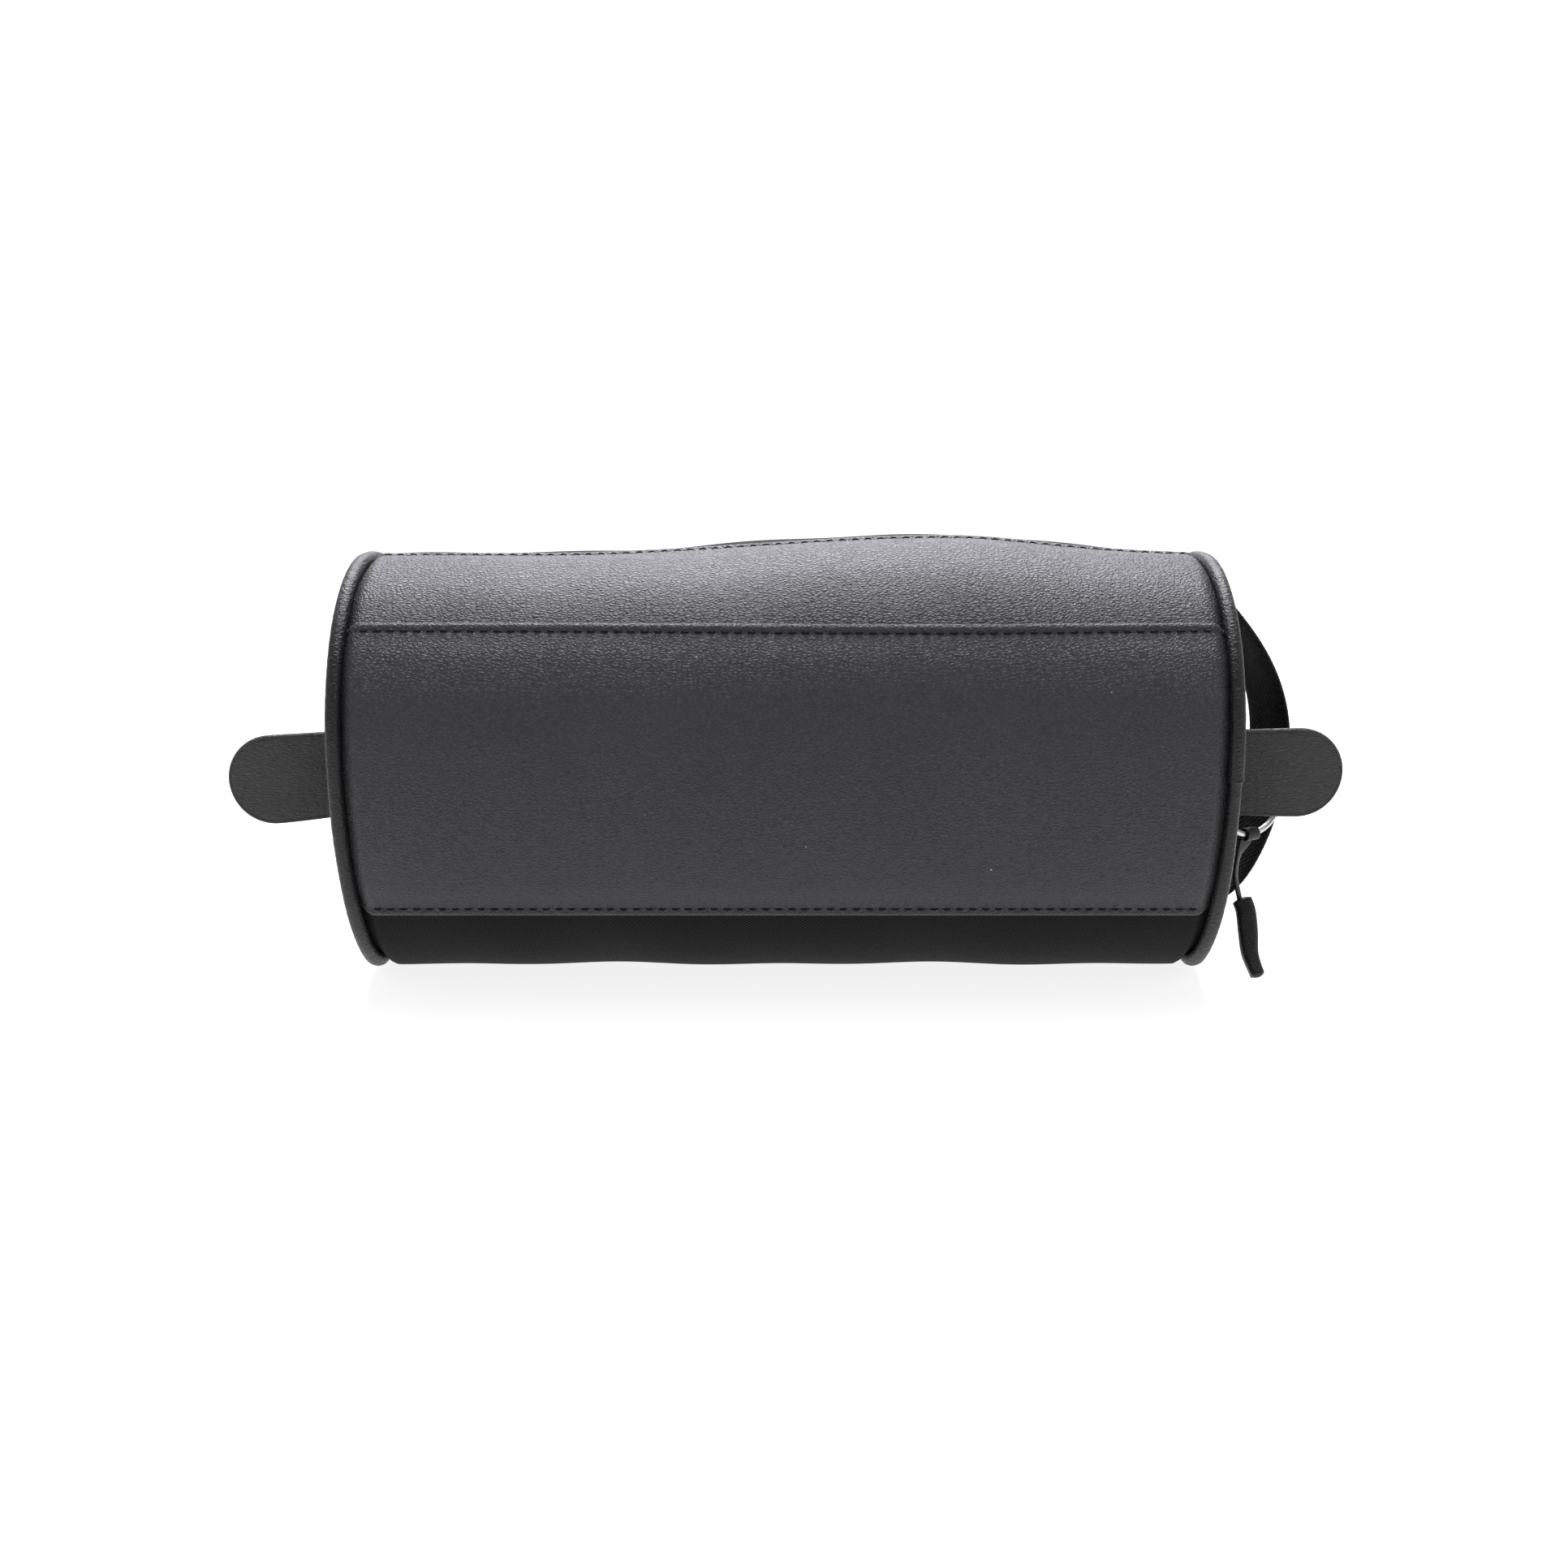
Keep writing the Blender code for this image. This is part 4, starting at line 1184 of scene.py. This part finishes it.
@dataclass
class Pull:
    """The nickel ring on the slider, and the leather strap and grip that hang from it."""

    pivot: tuple[float, float, float] = (0.155535, -0.015727, 0.047454)
    ring_tangent: tuple[float, float, float] = (0.866, 0.5, 0.0)
    wire: float = 0.0010
    loop_radius: float = 0.0019
    loop_half: float = 0.0026
    loop_thick: float = 0.00035
    strip_half: float = 0.0024
    strip_narrowing: float = 0.0013
    strip_thick: float = 0.00055
    strip_twist: float = 0.35
    grip_half: float = 0.0031
    grip_thick: float = 0.0021
    grip_ridge: float = 0.00012
    strip_route: tuple = ((0.1532, -0.0160, 0.0438), (0.1516, -0.0165, 0.0395),
                          (0.1510, -0.0172, 0.0330), (0.1529, -0.0176, 0.0245))
    grip_route: tuple = ((0.1531, -0.0178, 0.0258), (0.1545, -0.0196, 0.0215),
                         (0.1550, -0.0222, 0.0150), (0.1552, -0.0258, 0.0085), (0.1570, -0.0312, 0.0024))

    def ring(self, nickel: bpy.types.Material) -> None:
        """Make the ring finely round, where the model's ring is."""
        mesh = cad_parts["pull_ring"].data
        spots = np.array([corner.co[:] for corner in mesh.vertices])
        middle = (spots.min(0) + spots.max(0)) / 2
        _, _, axes = np.linalg.svd(spots - spots.mean(0), full_matrices=False)
        radius = np.linalg.norm(spots - spots.mean(0), axis=1)
        radius = (radius.min() + radius.max()) / 2
        turn = np.linspace(0, math.tau, 97)[:, None]
        path = middle + radius * (np.cos(turn) * axes[0] + np.sin(turn) * axes[1])
        cloth = Cloth()
        cloth.tube(path, self.wire, self.wire, axes[2], sides=16)
        keep(cloth.make("pull_ring_fine", nickel), Place.RING, ["pull_ring"])

    def strap(self, leather: bpy.types.Material) -> None:
        """Make the loop round the ring and the twisted strip below it."""
        pivot = np.array(self.pivot)
        tangent = unit(np.array(self.ring_tangent))
        face = np.array([tangent[1], -tangent[0], 0.0])
        angle = np.linspace(-math.pi / 2, 1.5 * math.pi, 40)[:, None]
        upward = np.array([0.0, 0.0, 1.0])
        loop = pivot + self.loop_radius * (np.cos(angle) * face + np.sin(angle) * upward)
        cloth = Cloth()
        cloth.tube(loop, self.loop_half, self.loop_thick, unit(loop - pivot), sides=16, square=4.0)
        strip = rounded([pivot - np.array([0.0012, 0, 0.0016]), *self.strip_route], 0.0005)
        share = np.linspace(0, 1, len(strip))
        twist = (smooth(share, 0.02, 0.30) * self.strip_twist)[:, None]
        lean = face * np.cos(twist) + tangent * np.sin(twist)
        width = self.strip_half - self.strip_narrowing * smooth(share, 0.05, 0.35)
        cloth.tube(strip, width, self.strip_thick, lean, sides=16, square=4.0)
        keep(cloth.make("pull_strap_loop", leather), Place.PULL, ["pull_strap"])

    def grip(self, leather: bpy.types.Material) -> None:
        """Make the curved grip, with its raised edges."""
        path = rounded(self.grip_route, 0.0004)
        share = np.linspace(0, 1, len(path))
        ends = np.sqrt(np.clip(np.minimum(share / 0.03, (1 - share) / 0.03), 0.08, 1.0))
        width = (self.grip_half - 0.0009 * smooth(share, 0.35, 1.0)) * ends
        depth = (self.grip_thick - 0.0003 * smooth(share, 0.2, 0.9)) * ends
        lean = np.array([0.12, -1.0, 0.0])

        def edges(run: Points, turn: Points) -> Points:
            """Return the raised line beside each edge, the same all along."""
            return self.grip_ridge * hump(np.abs(np.cos(turn)), 0.93, 0.05) + np.zeros_like(run)

        cloth = Cloth()
        cloth.tube(path, width, depth, lean, sides=32, square=3.4, ridge=edges)
        keep(cloth.make("pull_grip_leather", leather), Place.PULL, ["pull_grip"])

    def build(self, nickel: bpy.types.Material, leather: bpy.types.Material) -> None:
        """Make the ring, the strap and the grip, and plate the slider."""
        self.ring(nickel)
        self.strap(leather)
        self.grip(leather)
        for name in ("zip_slider", "slider_bail"):
            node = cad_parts[name]
            for holder in node.material_slots:
                holder.material = nickel
        LOG.info("slider, ring, strap and grip made")


# ------------------------------------------------------------------ tabs and handle

# A tab's profile from its middle line to its rim, with the pressed line near the edge.
PRESS_REACH = np.array([0.0, 0.3, 0.6, 0.80, 0.86, 0.90, 0.920, 0.940, 0.955, 0.968, 0.980, 0.990,
                        0.997, 1.0])
PRESS_RISE = np.array([1.0, 1.0, 0.99, 0.97, 0.95, 0.90, 0.80, 0.88, 0.93, 0.90, 0.78, 0.56, 0.28, 0.0])


@dataclass
class GripTab:
    """A stadium-shaped leather tab that stands out from one end."""

    side: int
    where: Place
    node: str
    roll: float
    width: float = 0.0295
    thick: float = 0.0026
    y: float = -0.0282
    root: float = 0.1395
    height: float = 0.0715
    taper: float = 0.045
    hinge: float = 0.1450
    bend_half: float = 0.0030
    ripple: float = 0.00006
    bow: float = 0.0010

    def build(self, leather: bpy.types.Material) -> None:
        """Make the tab with its rounded rim and pressed edge line."""
        low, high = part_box(self.node)
        tip = max(abs(low[0]), abs(high[0]))
        length = (tip - self.root - self.width / 2 * (1 - math.cos(self.roll))) / math.cos(self.roll)
        start = np.array([self.side * self.root, self.y, self.height])
        out = np.array([self.side * math.cos(self.roll), 0.0, -math.sin(self.roll)])
        up = np.array([self.side * math.sin(self.roll), 0.0, math.cos(self.roll)])
        front = np.array([0.0, -1.0, 0.0])
        half = self.width / 2
        bend_x = length - half
        straight = np.linspace(0, bend_x, 26)
        angle = np.linspace(math.pi / 2, -math.pi / 2, 56)[1:-1]
        rim_u = np.concatenate([straight, bend_x + half * np.cos(angle), straight[::-1]])
        rim_v = np.concatenate([np.full(26, half), half * np.sin(angle), np.full(26, -half)])
        spine = np.minimum(rim_u, bend_x)
        reach = np.concatenate([PRESS_REACH, PRESS_REACH[-2::-1]])
        rise = np.concatenate([PRESS_RISE, -PRESS_RISE[-2::-1]])
        u = spine[:, None] + (rim_u - spine)[:, None] * reach
        v = rim_v[:, None] * reach * (1 - self.taper * smooth(bend_x - u, 0.0, bend_x))
        lift = self.thick / 2 * rise[None, :] + self.ripple * np.sin(420 * v) * (abs(rise) > 0.5)
        bow = self.bow * np.sin(math.pi * np.clip(u / length, 0, 1))
        points = (start + out * u[..., None] + up * v[..., None] + front * (lift + bow)[..., None])
        cloth = Cloth()
        cloth.grid(points, np.stack([u, v], -1))
        piece = cloth.make(self.node + "_leather", leather, 70.0)
        first = (self.side * (self.hinge - self.bend_half), self.y, SECTION.zip_height)
        last = (self.side * (self.hinge + self.bend_half), self.y, SECTION.zip_height)
        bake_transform(piece)
        finish_piece([self.node])
        LOG.info("%s made, %.1f mm long", self.node, length * 1000)


@dataclass
class Handle:
    """The webbing handle that bows out from the right end."""

    y: float = 0.0085
    half: float = 0.0120
    tilt: float = 0.0085
    foot: float = 0.0240
    head: float = 0.1330
    rise: float = 0.0262
    skew: float = 0.87
    foot_fullness: float = 0.35
    head_fullness: float = 1.10
    thick: float = 0.0020
    stand_off: float = 0.0017
    rib: float = 0.00011
    rib_pitch: float = 0.0021
    rib_width: float = 0.0012
    seam_half: float = 0.0095
    seam_start: int = 8
    seam_stop: int = 34

    def line(self, step: float) -> Points:
        """Return the strap's middle line from its foot to its head."""
        share = np.linspace(0, 1, 400)
        z = self.foot + (self.head - self.foot) * share
        x = SECTION.end_x(np.full(len(z), self.y - self.half), z) + self.stand_off
        fullness = self.foot_fullness + (self.head_fullness - self.foot_fullness) * share
        bulge = np.maximum(0, np.sin(math.pi * share ** self.skew)) ** fullness
        x = x + (self.rise - self.tilt / 2) * bulge
        return resample(np.stack([x, np.full(len(z), self.y), z], -1), step)

    def build(self, webbing: bpy.types.Material, thread: bpy.types.Material) -> None:
        """Weave the strap and sew its ends."""
        line = self.line(0.00035)
        cloth = Cloth()
        out = (line[:, 0] - line[:, 0].min()) / np.ptp(line[:, 0])
        lean = np.stack([np.full(len(line), 2 * self.half), self.tilt * out, np.zeros(len(line))], -1)

        def ribs(run: Points, turn: Points) -> Points:
            """Return the crossing ribs of the webbing."""
            across = np.cos(turn) * self.half
            flat = np.abs(np.sin(turn)) > 0.05
            shift = math.pi * np.round(across / self.rib_width)
            return self.rib * np.cos(math.tau * run / self.rib_pitch + shift) * flat

        lean = unit(lean)
        cloth.tube(line, self.half, self.thick / 2, lean, sides=72, square=3.2, ridge=ribs)
        keep(cloth.make("handle_webbing", webbing), Place.HANDLE, ["handle_strap"])
        sewn = Cloth()
        count = len(line)
        side = unit(np.cross(lean, unit(np.gradient(line, axis=0))))
        face = line + lean * self.thick * 0.45
        for begin, end in ((self.seam_start, self.seam_stop),
                           (count - self.seam_stop, count - self.seam_start)):
            for across in (-self.seam_half, self.seam_half):
                row = face[begin:end] + side[begin:end] * across
                sew_along(sewn, row, lean[begin:end], 0.0026)
            for at in (begin, end - 1):
                row = face[at] + side[at] * np.linspace(-self.seam_half, self.seam_half, 40)[:, None]
                sew_along(sewn, row, lean[at], 0.0030)
        keep(sewn.make("handle_stitches", thread), Place.HANDLE)
        LOG.info("handle woven")


@dataclass
class Lining:
    """The cloth inside the bag and its lid."""

    inset: float = 0.0056
    slot: float = 0.0110
    end_shift: float = 0.0046
    half: float = 0.1335
    floor: float = 0.0036

    def part(self, name: str, start: Callable, stop: Callable) -> Wrap:
        """Return one part of the lining between two lines of turns."""
        return Wrap(name, start, stop, self.inset, half=self.half, column=0.003, row=0.004,
                    sink=0.0, waves=0.0004, floor=self.floor)

    def build(self, paint: bpy.types.Material) -> None:
        """Lay the lining above and below the zip, and at both ends."""
        height = SECTION.zip_height
        upper = self.part("lining_upper",
                          lambda x: SECTION.on_zip_side(height + self.slot, x, self.inset),
                          lambda x: SECTION.on_base(height, x, self.inset))
        lower = self.part("lining_lower", lambda x: SECTION.on_base(height, x, self.inset),
                          lambda x: math.tau + SECTION.on_zip_side(height - self.slot, x, self.inset))
        for wrap, nodes in ((upper, ["lid_lining"]), (lower, ["body_lining"])):
            cloth = Cloth()
            wrap.lay(cloth)
            piece = cloth.make(wrap.name, paint)
            if wrap is upper:
                bend(piece, nodes)
            else:
                keep(piece, Place.BAG, nodes)
        for side, word in ((-1, "left"), (1, "right")):
            end = EndPanel(side, f"{word}_end_lining_cloth", rim_inset=self.inset, shift=self.end_shift,
                           dome=0.8, slot=self.slot, steps=12, along=70)
            end.build(paint, Slot.LINING, [f"lid_{word}_end_lining"], [f"{word}_end_lining"])
        LOG.info("lining laid")


# ------------------------------------------------------------------ the studio

@dataclass
class Studio:
    """The pale floor, the soft lights and the camera."""

    camera_place: tuple[float, float, float] = (-0.0004, -0.6570, 0.2126)
    pitch: float = 13.0
    lens: float = 45.45
    air: float = 0.26
    aim: tuple[float, float, float] = (0.0, 0.0, 0.05)
    floor_half: float = 6.0
    floor_front: float = -4.0
    sweep_start: float = 2.4
    sweep_radius: float = 0.8
    wall_top: float = 5.0
    floor_drop: float = 0.0003

    def light(self, name: str, place: tuple, size: float, power: float,
              tint: tuple = (1.0, 1.0, 1.0)) -> None:
        """Hang a square soft light that faces the bag.

        Args:
            name: the light's name.
            place: where it hangs.
            size: the length of its side.
            power: its power in watts.
            tint: its colour.
        """
        lamp = bpy.data.lights.new(name, "AREA")
        lamp.size = size
        lamp.energy = power
        lamp.color = tint
        hung = bpy.data.objects.new(name, lamp)
        hung.location = place
        facing = Vector(self.aim) - Vector(place)
        hung.rotation_euler = facing.to_track_quat("-Z", "Y").to_euler()
        bpy.context.scene.collection.objects.link(hung)

    def floor(self, paper: bpy.types.Material) -> None:
        """Lay the floor, which curves up into a wall far behind the bag."""
        cloth = Cloth()
        angle = np.linspace(0, math.pi / 2, 16)
        far = self.sweep_start + self.sweep_radius
        sweep_y = np.concatenate([[self.floor_front, 0.0],
                                  self.sweep_start + self.sweep_radius * np.sin(angle), [far]])
        sweep_z = np.concatenate([[0.0, 0.0], self.sweep_radius * (1 - np.cos(angle)),
                                  [self.wall_top]]) - self.floor_drop
        x = np.linspace(-self.floor_half, self.floor_half, 5)
        plan = crossed(sweep_y, x)
        high = crossed(sweep_z, x)[..., 0]
        points = np.stack([plan[..., 1], plan[..., 0], high], -1)
        cloth.grid(points, points[..., :2])
        cloth.make("floor", paper)

    def world(self) -> None:
        """Fill the air with pale light that is dimmer than it looks to the camera."""
        world = bpy.data.worlds.new("studio_air")
        world.use_nodes = True
        air = world.node_tree.nodes["Background"]
        air.inputs["Color"].default_value = (0.97, 0.98, 1.0, 1.0)
        seen = world.node_tree.nodes.new("ShaderNodeLightPath")
        strength = world.node_tree.nodes.new("ShaderNodeMapRange")
        strength.inputs["To Min"].default_value = self.air
        strength.inputs["To Max"].default_value = 1.0
        world.node_tree.links.new(seen.outputs["Is Camera Ray"], strength.inputs["Value"])
        world.node_tree.links.new(strength.outputs[0], air.inputs["Strength"])
        bpy.context.scene.world = world

    def camera(self) -> None:
        """Stand the camera where it sees the base from a little above."""
        eye = bpy.data.cameras.new("camera")
        eye.sensor_width = 36.0
        eye.lens = self.lens
        eye.clip_start = 0.01
        shown = bpy.data.objects.new("camera", eye)
        shown.location = self.camera_place
        shown.rotation_euler = (math.radians(90 - self.pitch), 0.0, 0.0)
        bpy.context.scene.collection.objects.link(shown)
        bpy.context.scene.camera = shown

    def build(self, paper: bpy.types.Material) -> None:
        """Set up the floor, the world, the lights and the camera."""
        self.floor(paper)
        self.world()
        self.light("back_softbox", (0.0, 0.62, 0.95), 0.9, 24.0, (0.93, 0.91, 1.0))
        self.light("top_softbox", (0.0, -0.05, 1.15), 0.8, 5.0)
        self.light("left_fill", (-0.9, -0.25, 0.5), 0.4, 1.2)
        self.light("right_fill", (0.9, -0.25, 0.5), 0.4, 1.2)
        self.camera()
        bpy.context.scene.view_settings.view_transform = "Standard"
        LOG.info("studio lit")


def main() -> None:
    """Build the bag's looks and the studio."""
    logging.basicConfig(level=logging.INFO, format="%(message)s")
    leather = PANEL_LEATHER.material()
    canvas = CANVAS.material()
    thread = THREAD.material()
    nickel = NICKEL.material()
    Panels().build(leather, canvas, thread)
    for side, word in ((-1, "left"), (1, "right")):
        end = EndPanel(side, f"{word}_end_canvas")
        end.build(canvas, Slot.CANVAS, [f"lid_{word}_end"], [f"{word}_end_panel"], thread)
    cord_leather = PIPING_LEATHER.material()
    for side, word in ((-1, "left"), (1, "right")):
        cord = Piping(side, f"{word}_piping_cord", lapped=side > 0)
        cord.build(cord_leather, f"lid_{word}_piping", f"{word}_piping")
    Zip().build(TAPE_CLOTH.material(), NYLON.material())
    Pull().build(nickel, PULL_LEATHER.material())
    tab_leather = TAB_LEATHER.material()
    GripTab(-1, Place.LEFT_TAB, "left_grip_tab", math.radians(5)).build(tab_leather)
    GripTab(1, Place.RIGHT_TAB, "right_grip_tab", 0.0).build(tab_leather)
    Handle().build(WEBBING.material(), thread)
    Lining().build(LINING_CLOTH.material())
    Studio().build(Backdrop().material())


if __name__ == "__main__":
    main()
